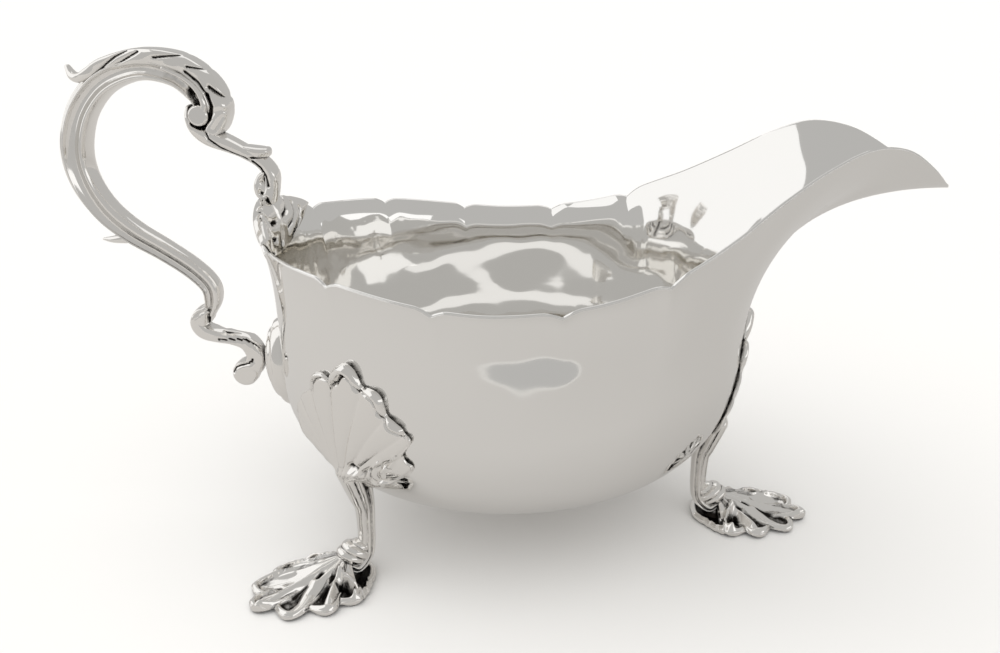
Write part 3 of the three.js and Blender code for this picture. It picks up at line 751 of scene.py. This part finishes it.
# Feet: a webbed shell of eight fingers with a beaded edge, and an open heel under the shaft
foot = {
    "hinge": 4.4,
    "rise": 6.8,
    "edge": 1.5,
    # fingers: angle where each starts, reach there, reach of its tip
    "fingers": (
        (-84, 9, 9.9), (-60, 9.8, 12.3), (-40, 12.8, 17.2), (-24, 16.6, 21.4), (-8, 19.8, 22.8),
        (9.5, 18.6, 19.3), (31, 14.6, 14.6), (57, 11.2, 11), (86, 9.8, 9.8),
    ),
    "heel": (
        (86, 9.8), (97, 8.6), (110, 7.3), (124, 6.4), (150, 6.1), (180, 5.8), (215, 6.2), (242, 7.4),
        (260, 8.5), (276, 9),
    ),
    # ridges: angle by the hinge and at the edge, height, half width, share of the reach where it ends
    "ridges": (
        (-52, -61, 1.4, 0.9, 1.3), (-35, -41, 1.5, 1, 1.3), (-21, -25, 1.5, 1, 1.3), (2, 6, 1.4, 0.8, 1.3),
        (9, 18, 1.3, 1.2, 0.75), (37, 49, 1.5, 1.1, 0.98),
    ),
    # scoops between the ridges: two ends as angle and distance, depth, half width, how dark
    "scoops": (
        ((10, 6.8), (12, 8), 1.2, 0.5, 1), ((13, 11), (14.5, 16.4), 0.8, 1.3, 0.55),
        ((33, 6), (34, 6.6), 1.4, 0.5, 1), ((33, 9), (34.5, 12.2), 0.8, 1.1, 0.5),
        ((56, 6.8), (67, 8.6), 2.4, 1, 1),
        ((-2, 14), (-1, 20.2), 0.7, 1.1, 0.2), ((-14, 11.5), (-15.4, 18), 0.9, 1.7, 0.2),
        ((-31, 9.5), (-32, 14.6), 0.8, 1.5, 0.2), ((-49, 8), (-50, 10.8), 0.7, 1.2, 0.2),
        ((-10, 15.5), (-11, 16.6), 0.3, 0.7, 0.85), ((-27, 14.4), (-27.6, 15.2), 0.3, 0.6, 0.85),
        ((-46, 10.6), (-46.4, 11.2), 0.3, 0.5, 0.8), ((17, 15.6), (17.4, 16), 0.3, 0.6, 0.9),
        ((34, 11.4), (34.6, 12.2), 0.3, 0.7, 1),
    ),
    # a raised loop round the hollow beside the heel: x and y from the hinge, height, half width
    "loop": (((3.4, 3.4), (2.2, 5), (1.2, 7), (1.2, 8.6), (2.4, 9.5)), 1.7, 0.6),
    # the open heel: angle where it starts, height of its floor, height and reach of the post in it
    "heelStart": 84,
    "heelFloor": 0.8,
    "post": (4, 3),
    # the beaded edge: its height and half width, and the width of the fine mesh for it
    "bead": 1.2,
    "beadHalf": 0.8,
    "rimWidth": 2.2,
    "crown": 0.5,
    "leastHeight": 0.6,
    # how far the edge is off the table: at the tips, and more between them
    "underside": (0.1, 0.9),
    # the turn under the edge: inwards, share of the height that is left, and millimetres up
    "turnUnder": ((0, 0.7, 0), (0.05, 0.35, 0), (0.45, 0, 0), (1.1, 0, 0.3)),
    "middleZ": 0.5,
    "around": 480,
    "fanRings": 44,
    "rimRings": 22,
    "hollows": (6, 0.32),
}
# each scoop as a line of two points, with its depth, half width and darkness
scoops = [
    (((near * cos(a), near * sin(a)), (far * cos(b), far * sin(b))), *rest)
    for (a, near), (b, far), *rest in foot["scoops"]
]


# Reach of the lobed outline at an angle, and how far across its finger the angle lies, from 0 to 1
def footReach(off):
    rows = foot["fingers"]
    if not rows[0][0] <= off <= rows[-1][0]:
        return along(foot["heel"], off + 360 if off < 0 else off, 1), 0.5
    i = rowBefore(rows, off)
    here, after = rows[i], rows[i + 1]
    across = clamp((off - here[0]) / (after[0] - here[0]))
    valley = here[1] + (after[1] - here[1]) * across
    return valley + (here[2] - valley) * sqrt(max(0.0, 1 - (2 * across - 1) ** 2)), across


# How deep in a scoop or in the open heel a point of the foot lies, from 0 to 1
def footDark(off, r):
    x, y = r * cos(off), r * sin(off)
    deepest = 0.0
    for line, _, width, darkening in scoops:
        deepest = max(deepest, darkening * nearLine(x, y, line, width))
    inside = clamp((footReach(off)[0] - 1.0 - r) / 0.5) * clamp((r - 1.5) / 1.0)
    return max(deepest, inside * clamp((abs(off) - foot["heelStart"]) / 6))


def footHeight(off, r):
    reach, across = footReach(off)
    slope = (footReach(off + 0.4)[0] - footReach(off - 0.4)[0]) / radians(0.8) / reach
    w = (reach - r) / hypot(1, slope)
    t = r / reach
    crown = math.sin(pi * across)
    height = foot["edge"] + (foot["rise"] - foot["edge"]) * (1 - t) ** 1.25
    height += foot["crown"] * t * (crown**0.8 - 0.7)
    for start, end, rise, width, until in foot["ridges"]:
        away = r * radians(off - start - (end - start) * t)
        fade = clamp((t - 0.3) / 0.3) * clamp((until - t) / 0.2)
        height += rise * (exp(-((away / width) ** 2)) - 0.1) * fade
    x, y = r * cos(off), r * sin(off)
    for line, depth, width, _ in scoops:
        height -= depth * nearLine(x, y, line, width)
    heel = clamp((abs(off) - foot["heelStart"]) / 8)
    tall, wide = foot["post"]
    height += (foot["heelFloor"] + tall * (1 - clamp(r / wide)) - height) * heel
    line, rise, width = foot["loop"]
    height += rise * nearLine(x, y, line, width)
    height += foot["bead"] * sqrt(max(0.0, 1 - (w / foot["beadHalf"] - 1) ** 2))
    return max(height, foot["leastHeight"])


def footSkin():
    rings = foot["fanRings"] + foot["rimRings"]
    last = rings + len(foot["turnUnder"])

    def place(i, j):
        off = 360 * i / foot["around"] - 180
        reach, across = footReach(off)
        start = reach - foot["rimWidth"]
        if j <= foot["fanRings"]:
            r = start * j / foot["fanRings"]
        else:
            done = clamp((j - foot["fanRings"]) / foot["rimRings"])
            r = start + foot["rimWidth"] * math.sin(done * pi / 2)
        z = footHeight(off, min(r, reach - 0.15))
        least, more = foot["underside"]
        lifted = least + more * (1 - math.sin(pi * across)) * clamp((95 - abs(off)) / 10)
        if j >= rings:
            inwards, share, up = foot["turnUnder"][min(j - rings, len(foot["turnUnder"]) - 1)]
            r, z = reach - inwards, lifted + (z - lifted) * share + up
        if j == last:
            r, z = 0, foot["middleZ"]
        return Vector((foot["hinge"] + r * cos(off), r * sin(off), z))

    bm = sheet(foot["around"], last, place)
    markHollows(bm, *foot["hollows"])
    hollow = bm.verts.layers.float["hollow"]
    for v in bm.verts:
        x, y = v.co.x - foot["hinge"], v.co.y
        dark = footDark(math.degrees(math.atan2(y, x)), hypot(x, y))
        # the scoops and the open heel get the dark colour too: tarnish, and painted shade in these cavities
        v[hollow] = min(1.0, v[hollow] * 0.7 + dark**1.5)
    return bm


footShape = footSkin()
for side, place in leg["places"].items():
    shape = footShape if side == "right" else mirrored(footShape)
    finish("foot" + side.capitalize(), stood(shape, place), cast, "foot_shell_" + side)
print("feet made")

# The handle stands in the plane y = 0. Its places are measured from two seats on the bowl: the edge at
# its back, and the spot on the belly where the socket sits
rimSeat = edgePoint(180)
socketShare = 0.96
socketSeat = bellyPoint(180, socketShare)


def seated(rows, seat):
    return [(seat.x + row[0], seat.z + row[1], *row[2:]) for row in rows]


# Chased lines on the sides of a piece: each draws the surface in towards the middle plane
def chase(bm, lines, seat):
    for rows, width, share in lines:
        line = seated(rows, seat)
        margin = 3 * width
        (left, right), (low, high) = ((min(c) - margin, max(c) + margin) for c in zip(*line))
        for v in bm.verts:
            if left < v.co.x < right and low < v.co.z < high:
                v.co.y *= 1 - share * nearLine(v.co.x, v.co.z, line, width)


# Outline of a boss, as shares of its radius and its half width
bossOutline = ((0, 1), (0.45, 1), (0.62, 1), (0.74, 1), (0.88, 0.96), (0.97, 0.86), (1, 0.7))


# A flat-sided boss with a round edge, turned about an axis across the handle
def boss(x, z, radius, halfWidth):
    bm = bmesh.new()
    outline = [(radius * r, halfWidth * y) for r, y in bossOutline]
    outline += [(r, -y) for r, y in reversed(outline)]
    points = [bm.verts.new((r, y, 0)) for r, y in outline]
    edges = [bm.edges.new(pair) for pair in zip(points, points[1:])]
    turn = {"cent": (0, 0, 0), "axis": (0, 1, 0), "angle": 2 * pi, "steps": 56, "use_merge": True}
    bmesh.ops.spin(bm, geom=points + edges, **turn)
    bmesh.ops.remove_doubles(bm, verts=bm.verts, dist=weld)
    bmesh.ops.subdivide_edges(bm, edges=bm.edges, cuts=1, use_grid_fill=True, smooth=0.6)
    bmesh.ops.translate(bm, verts=bm.verts, vec=(x, 0, z))
    bmesh.ops.recalc_face_normals(bm, faces=bm.faces)
    return bm


mainScroll = {
    # x, z, half thickness, half width: from the edge of the bowl, then from the socket
    "upper": (
        (-10.2, 22.6, 1.5, 2.9), (-11.5, 25.8, 2.1, 3.1), (-15.3, 29.3, 2.4, 3.3), (-21.4, 31.1, 2.75, 3.4),
        (-27.2, 30.3, 2.9, 3.4), (-32.9, 27.3, 3, 3.4), (-37.5, 21.9, 3.1, 3.4), (-39.9, 15.6, 3.2, 3.4),
        (-40.2, 9.8, 3.1, 3.3), (-38.6, 4.3, 3, 3.1), (-35.1, -1.1, 2.8, 2.9), (-29.8, -5.7, 2.5, 2.7),
    ),
    "lower": (
        (-26.7, 27.4, 2.3, 2.5), (-20.7, 23.1, 2.2, 2.4), (-17, 19.1, 2.1, 2.4), (-16.5, 15.5, 1.9, 2.3),
        (-17.6, 12.1, 1.2, 1.9),
    ),
    # half of the section: an outer rib, a fine line, a broad channel and an inner bead
    "section": (
        (1, 0), (0.97, 0.34), (0.87, 0.58), (0.76, 0.62), (0.7, 0.66), (0.64, 0.82), (0.55, 0.96),
        (0.46, 0.95), (0.38, 0.84), (0.22, 0.7), (0, 0.62), (-0.2, 0.64), (-0.36, 0.72),
        (-0.46, 0.78), (-0.55, 0.88), (-0.7, 0.94), (-0.86, 0.8), (-0.97, 0.45), (-1, 0),
    ),
    "narrowing": (0.5, 0.72),
    "channel": (-0.97, 0.6),
    "outwards": 0.34,
    "widening": 0.55,
    # the eye: x, z, radius, half width
    "eye": (-10.8, 21.2, 2.3, 3.8),
    "bead": (
        (-17.5, 31.2, 0.5, 3.5), (-12.9, 29, 0.6, 3.8), (-10.4, 26.6, 0.7, 3.9), (-9.3, 23.8, 0.8, 3.9),
        (-9.6, 21.4, 0.9, 3.7),
    ),
    "beadSection": ((1, 0), (0.8, 0.9), (-0.8, 0.9), (-1, 0)),
    # a chased line: points, half width, share of the depth
    "throat": (((-12.3, 26.6), (-11.9, 24.6), (-11, 23.6), (-10.4, 22.4)), 0.5, 0.55),
    "thorn": (
        (-32.1, 30.1, 0.9, 1.6), (-35.3, 30.1, 1.2, 1.5), (-38.3, 29.8, 0.8, 1.1), (-40.6, 29.9, 0.3, 0.4),
    ),
    "thornSection": ((1, 0), (0.6, 0.9), (-0.5, 0.9), (-1, 0)),
    "hollows": (6, 0.42),
}


# Along the stretch called narrowing, the channel narrows and moves to the outer edge
def narrowed(r, y, share):
    size = mainScroll
    start, end = size["narrowing"]
    done = clamp((share - start) / (end - start))
    done = done * done * (3 - 2 * done)
    low, high = size["channel"]
    if low < r < high:
        r += size["outwards"] * done * (1 - r * r)
        y += size["widening"] * done * (0.95 - y if y > 0 else -0.95 - y) * clamp(0.3 - r)
    return r, y


def mainScrollSkin():
    size = mainScroll
    stations = seated(size["upper"], rimSeat) + seated(size["lower"], socketSeat)
    band = sweep(stations, ring(size["section"], 76), 300, narrowed)
    chase(band, [size["throat"]], rimSeat)
    x, z, radius, half = size["eye"]
    eye = boss(rimSeat.x + x, rimSeat.z + z, radius, half)
    bead = sweep(seated(size["bead"], rimSeat), ring(size["beadSection"], 24), 60)
    thorn = sweep(seated(size["thorn"], socketSeat), ring(size["thornSection"], 24), 30)
    return markHollows(joined(band, eye, bead, thorn), *size["hollows"])


leafCap = {
    "stations": (
        (-39.4, 31.2, 0.5, 0.7), (-38.3, 29.2, 0.9, 1.6), (-36.2, 28.9, 1.2, 2.6), (-33.6, 29.9, 1.5, 3.4),
        (-30, 31.7, 1.7, 3.8), (-22.4, 33.2, 2, 4), (-14.4, 32, 2.2, 4), (-9.2, 28, 2.6, 3.9),
        (-7.1, 23.4, 2.8, 3.7), (-7.7, 19.8, 2.6, 3.5), (-8.9, 17.6, 1.8, 3.2),
    ),
    "section": (
        (1, 0), (0.97, 0.34), (0.84, 0.62), (0.55, 0.86), (0.15, 0.98), (-0.35, 1), (-0.7, 0.96),
        (-0.92, 0.78), (-1, 0.4), (-1, 0),
    ),
    # chased lines between the leaf's fingers: points, half width, share of the depth
    "lines": (
        (((-32.4, 29.4), (-29.5, 31.8), (-27, 33.5), (-24.5, 34.6)), 0.26, 0.16),
        (((-27.2, 31.8), (-24.4, 33.2), (-22, 34.5)), 0.24, 0.14),
        (((-18.8, 33.3), (-15.5, 33.6), (-12, 33.7), (-10.8, 33.5)), 0.24, 0.2),
        (((-12, 31.4), (-9, 30.9), (-6.3, 29.8), (-5.2, 29.2)), 0.24, 0.22),
        (((-7.8, 27.2), (-5.3, 25.3), (-3.4, 24.1), (-2.2, 22.9)), 0.34, 0.3),
        (((-12.6, 30.4), (-10, 28.2), (-8.3, 25.6)), 0.26, 0.26),
        # soft hollows that part the fingers
        (((-31.4, 30.4), (-26.8, 32.6), (-21.6, 34.9)), 1.6, 0.1),
        (((-20, 32.2), (-12, 33), (-6, 29.4)), 1.4, 0.12),
        (((-13.4, 30.8), (-8.2, 27.9), (-3, 24.2)), 1.3, 0.14),
        (((-7.6, 21.8), (-5.6, 22.4), (-3.4, 21.8)), 0.6, 0.08),
        (((-5.4, 21), (-7.4, 18.2)), 0.6, 0.09),
        # the gap round the scroll's eye
        (((-8.3, 25.6), (-7.7, 23.2), (-8.5, 20.6), (-10.8, 18.6)), 0.42, 0.42),
    ),
    "hollows": (6, 0.14),
}


def leafCapSkin():
    skin = sweep(seated(leafCap["stations"], rimSeat), ring(leafCap["section"], 84), 260)
    chase(skin, leafCap["lines"], rimSeat)
    return markHollows(skin, *leafCap["hollows"])


upperScroll = {
    "stations": (
        (-13.3, 23, 0.4, 2.6), (-13.5, 21, 0.7, 3.2), (-12.6, 18.6, 1.2, 3.5), (-10.8, 17, 1.7, 3.6),
        (-8.6, 15.9, 1.9, 3.5), (-5.6, 14.7, 1.7, 3.2), (-2.2, 13.1, 1.4, 2.9), (1.3, 11, 1.5, 2.7),
        (3.3, 8.2, 1.6, 2.6), (3.2, 5.2, 1.6, 2.5), (2.5, 2.8, 1.8, 2.8),
    ),
    "section": (
        (1, 0), (0.96, 0.4), (0.8, 0.74), (0.5, 0.92), (0.1, 0.98), (-0.3, 1), (-0.65, 0.92), (-0.92, 0.6),
        (-1, 0),
    ),
    "tip": ((-4.4, 14, 0.6, 2), (-1.8, 13.6, 1, 2.5), (0.8, 13, 1.3, 2.8), (2.7, 13, 1.1, 2.2)),
    "curl": (
        (1.9, 8.6, 0.5, 2.4), (1.1, 7.4, 1, 2.6), (0.8, 5.8, 1.5, 2.7), (1, 4.2, 1.6, 2.7),
        (1.6, 3, 1.2, 2.4),
    ),
    "lines": (
        (((-9.6, 17.8), (-9, 16.2), (-6.8, 14.4), (-3.9, 13), (-1.9, 12.2), (-0.1, 11.2)), 0.24, 0.2),
        (((-0.1, 11.2), (1.5, 9.8), (2.4, 8), (2.8, 5.8)), 0.32, 0.36),
        (((-0.4, 12), (2.1, 12.2)), 0.26, 0.34),
        (((-8.3, 20.6), (-10.8, 18.7), (-12.4, 19.4)), 0.4, 0.42),
        (((2, 2.6), (2, 1.6)), 0.7, 0.5),
    ),
    "curlLines": (
        (((1.6, 7), (1.3, 4.6)), 0.8, 0.22), (((1.5, 6.6), (1.7, 6.4)), 0.35, 0.2),
        (((1.2, 4), (1.4, 3.9)), 0.45, 0.3),
    ),
    "hollows": (5, 0.12),
}


def upperScrollSkin():
    size = upperScroll
    section = ring(size["section"], 60)
    band = sweep(seated(size["stations"], rimSeat), section, 150)
    chase(band, size["lines"], rimSeat)
    tip = sweep(seated(size["tip"], rimSeat), section, 40)
    curl = sweep(seated(size["curl"], rimSeat), section, 60)
    chase(curl, size["curlLines"], rimSeat)
    return markHollows(joined(band, tip, curl), *size["hollows"])


lowerScroll = {
    "stations": (
        (-18.1, 13.6, 0.6, 2.2), (-20.1, 11.9, 1.2, 2.5), (-20.7, 9.7, 1.6, 2.6), (-19.3, 7.6, 1.7, 2.6),
        (-16.3, 6.6, 1.6, 2.5), (-12.7, 6, 1.6, 2.4), (-9.3, 4.7, 1.9, 2.4), (-7.5, 1.5, 2.3, 2.4),
        (-8.3, -1.5, 2.3, 2.4),
    ),
    "section": (
        (1, 0), (0.98, 0.5), (0.86, 0.84), (0.5, 0.98), (-0.5, 0.98), (-0.86, 0.84), (-0.98, 0.5), (-1, 0),
    ),
    # rolled ends: x, z, radius, half width
    "roll": (-19.2, 11.4, 2.2, 2.6),
    "drop": (-10.3, -2.9, 3.05, 2.4),
    "lines": (
        (((-17, 10.4), (-16, 8.6), (-13.7, 7.3), (-10.4, 7.2), (-8.8, 7)), 0.6, 0.62),
        (((-15.6, 6), (-12.1, 6), (-9.2, 5.9), (-7.1, 4.5), (-5.4, 2.6)), 0.3, 0.3),
    ),
    "rollLines": (
        (((-20.8, 11.6), (-19.3, 12.9), (-17.6, 13.1)), 0.35, 0.16), (((-17.4, 12), (-17.8, 10)), 0.5, 0.6),
    ),
    "dropLines": ((((-13, -2.5), (-12.2, -1.2), (-10.9, -0.6), (-9, -0.2), (-8, 0.9)), 0.3, 0.22),),
    "hollows": (5, 0.12),
}


def lowerScrollSkin():
    size = lowerScroll
    band = sweep(seated(size["stations"], socketSeat), ring(size["section"], 56), 150)
    chase(band, size["lines"] + size["dropLines"], socketSeat)
    parts = [band]
    for kind in ("roll", "drop"):
        x, z, radius, half = size[kind]
        end = boss(socketSeat.x + x, socketSeat.z + z, radius, half)
        chase(end, size[kind + "Lines"], socketSeat)
        parts.append(end)
    return markHollows(joined(*parts), *size["hollows"])


# Oval plate with raised rings that takes the handle's lower end
socketPlate = {
    "halfHeight": 11.2,
    "halfWidth": 7.4,
    "thickness": 4.6,
    "dome": 0.42,
    # raised rings: their shares of the way out, height and half width
    "rings": (0.5, 0.72, 0.92),
    "ring": 0.5,
    "ringHalf": 0.05,
    "sunk": -0.3,
    "around": 96,
    "out": 60,
    "hollows": (4, 0.14),
}


def socketPlateSkin():
    size = socketPlate
    spot = wallPatch(180, socketShare)

    def place(i, j):
        off = 360 * i / size["around"]
        t = min(1.0, j / size["out"])
        reach = 1 / hypot(cos(off) / size["halfHeight"], sin(off) / size["halfWidth"])
        lift = size["thickness"] * max(0.0, 1 - t**2) ** size["dome"]
        lift += sum(size["ring"] * bump(t, at, size["ringHalf"]) for at in size["rings"])
        if j > size["out"]:
            lift = size["sunk"]
        if j > size["out"] + 1:
            t = 0
        return spot(t * reach * sin(off), t * reach * cos(off), lift)

    return markHollows(sheet(size["around"], size["out"] + 2, place), *size["hollows"])


# The leaf astride the edge where the handle lands: a deep vein, and ribs that curve out from it
rimLeaf = {
    "spread": 25,
    "rise": 2.6,
    "length": 34,
    # section: share of the way down the wall, distance off the wall's middle, outwards
    "section": (
        (0.11, 0.7), (0.07, 1), (0.03, 1.1), (0, 0.8), (0, -0.6), (0.01, -1.9), (0.07, -2.7),
        (0.15, -2.6), (0.24, -1.9), (0.33, -0.9),
    ),
    "middle": -0.3,
    "topDip": 1.4,
    "around": 110,
    "along": 200,
    # grooves: points across the leaf and down its inner side in millimetres, half width, depth
    "grooves": (
        (((0, -1.6), (0, 3), (0.3, 9.5)), 0.6, 0.8),
        (((8.4, 0.6), (7.6, 2.2), (5.4, 3.4), (2.4, 4.2)), 0.45, 0.7),
        (((11.4, 1.4), (11, 3.6), (9.2, 5.6), (5.4, 7.2)), 0.45, 0.7),
        (((14, 2.2), (13.7, 5), (11.8, 7.4), (8.8, 9)), 0.4, 0.6),
    ),
    "hollows": (9, 0.2),
}


def grooveDepth(across, down):
    deepest = 0.0
    for line, width, depth in rimLeaf["grooves"]:
        cut = nearLine(abs(across), down, line, width)
        soft = nearLine(abs(across), down, line, 3 * width)
        deepest = max(deepest, depth * (0.75 * cut + 0.25 * soft))
    return deepest


def rimLeafSkin():
    size = rimLeaf
    section = closedCurve(size["section"], size["around"])

    # k is the share of the way across, from -1 to 1
    def place(i, j):
        k = -1 + 2 * j / size["along"]
        swell = sqrt(max(0.0, 1 - k * k))
        down, off = section[i % len(section)]
        angle = 180 + k * size["spread"]
        share = max(0.0, down) * (0.4 + 0.6 * swell) * swell
        inwards = share * size["length"] if down > 0.005 else -0.6 - off
        depth = grooveDepth(bowl["rimHalfWidth"] * sin(k * size["spread"]), inwards) if off < 0.6 else 0
        off += (size["middle"] - off) * depth
        outward = bowlNormal(angle, 2 - share)
        p = bowlPoint(angle, 2 - share) + outward * (off * (0.3 + 0.7 * swell) - bowl["wall"] / 2)
        rise = size["rise"] * swell * (1 - (off / 4) ** 2) - size["topDip"] * depth
        p.z += rise * clamp(1 - down / 0.1)
        return p

    return markHollows(sheet(len(section), size["along"], place), *size["hollows"])


handlePieces = (
    ("mainScroll", mainScrollSkin, "handle_main_scroll"),
    ("leafCap", leafCapSkin, "handle_leaf_cap"),
    ("upperScroll", upperScrollSkin, "handle_upper_scroll"),
    ("lowerScroll", lowerScrollSkin, "handle_lower_scroll"),
    ("socketPlate", socketPlateSkin, "handle_socket_plate"),
    ("rimLeaf", rimLeafSkin, "handle_rim_leaf"),
)
for name, skin, node in handlePieces:
    finish(name, skin(), cast, node)
print("handle made")


# Camera where the photographer stood
cameraPlace = {"pitch": 20.5, "turn": 1.82, "x": 6.35, "y": -196.66, "z": 124.09, "lens": 31.92}
camera = addObject("camera", bpy.data.cameras.new("camera"))
camera.data.lens = cameraPlace["lens"]
camera.data.sensor_width = 36.0
camera.data.clip_start = 0.01
camera.location = ((cameraPlace["x"] + shiftX) * mm, cameraPlace["y"] * mm, cameraPlace["z"] * mm)
camera.rotation_euler = (radians(90 - cameraPlace["pitch"]), 0, radians(cameraPlace["turn"]))
scene.camera = camera

# Studio: a pale floor to the horizon, a soft grey room, and soft boxes that only the silver mirrors
studio = {
    # floors: z, front edge, shade at the left and right, and the rays that don't see it. The one that the
    # silver mirrors is a greyer copy of the floor that paints shade into its reflections and darkens to the
    # right; it ends in a pale edge before the camera, which paints a highlight along the bowl
    "floors": {
        "table": (0.0, -40.0, "#F2F1EF", "#F2F1EF", ("glossy", "shadow")),
        # greyer than the floor and only mirrored: painted shade, darker to the right
        "shadedMirroredTable": (-0.0005, -0.235, "#EBE9E7", "#D6D4D2", ("camera", "diffuse")),
        # a pale strip that is only mirrored: a painted highlight on the bowl
        "paleMirroredEdge": (-0.0015, -0.247, "#F2F1EF", "#F2F1EF", ("camera", "diffuse")),
    },
    "floorSize": 40.0,
    "shadeSpread": 0.3,
    "room": "#BDBCBA",
    "sun": 2.3,
    "sunWidth": 110,
    # angle round the jug, rise, distance, width, height and how bright each box looks
    "boxes": {
        "leftBox": (180, 36, 1.6, 2.45, 2.0, 0.84),
        "rightBox": (-30, 10, 1.6, 1.6, 0.39, 0.95),
        "backBox": (92, 58, 1.6, 1.1, 0.9, 0.72),
    },
}


def addFloor(name, z, front, *shades):
    bm = bmesh.new()
    bmesh.ops.create_grid(bm, x_segments=1, y_segments=1, size=studio["floorSize"])
    bmesh.ops.translate(bm, vec=(0, studio["floorSize"] + front, z), verts=bm.verts)
    floor = addObject(name, meshFrom(name, bm))
    material, tree, spot = newMaterial(name)
    across = addNode(tree, "ShaderNodeSeparateXYZ", inputs={"Vector": spot}).outputs["X"]
    share = mapped(tree, across, -studio["shadeSpread"], studio["shadeSpread"])
    shaded(tree, "ShaderNodeBsdfDiffuse", {"Color": mixed(tree, share, *shades)})
    floor.data.materials.append(material)
    return floor


def addLight(name, kind, place):
    light = addObject(name, bpy.data.lights.new(name, kind))
    light.location = place
    light.rotation_euler = (Vector((0, 0, 0.05)) - Vector(place)).to_track_quat("-Z", "Y").to_euler()
    return light


for name, (*spot, blindRays) in studio["floors"].items():
    floor = addFloor(name, *spot)
    for ray in blindRays:
        setattr(floor, "visible_" + ray, False)

world = bpy.data.worlds.new("studio")
scene.world = world
world.use_nodes = True
world.node_tree.nodes["Background"].inputs["Color"].default_value = colour(studio["room"])

sun = addLight("skylight", "SUN", (-0.5, -0.8, 2.0))
sun.data.energy = studio["sun"]
sun.data.angle = radians(studio["sunWidth"])
sun.visible_glossy = False
for name, (turn, rise, distance, width, height, brightness) in studio["boxes"].items():
    towards = Vector((cos(turn) * cos(rise), sin(turn) * cos(rise), sin(rise)))
    box = addLight(name, "AREA", towards * distance)
    box.data.shape = "RECTANGLE"
    box.data.size, box.data.size_y = width, height
    box.data.energy = 2 * brightness * width * height
    box.visible_diffuse = False

scene.view_settings.view_transform = "Standard"
scene.view_settings.look = "None"
# the bowl mirrors itself many times over
scene.cycles.max_bounces = 16
scene.cycles.glossy_bounces = 16
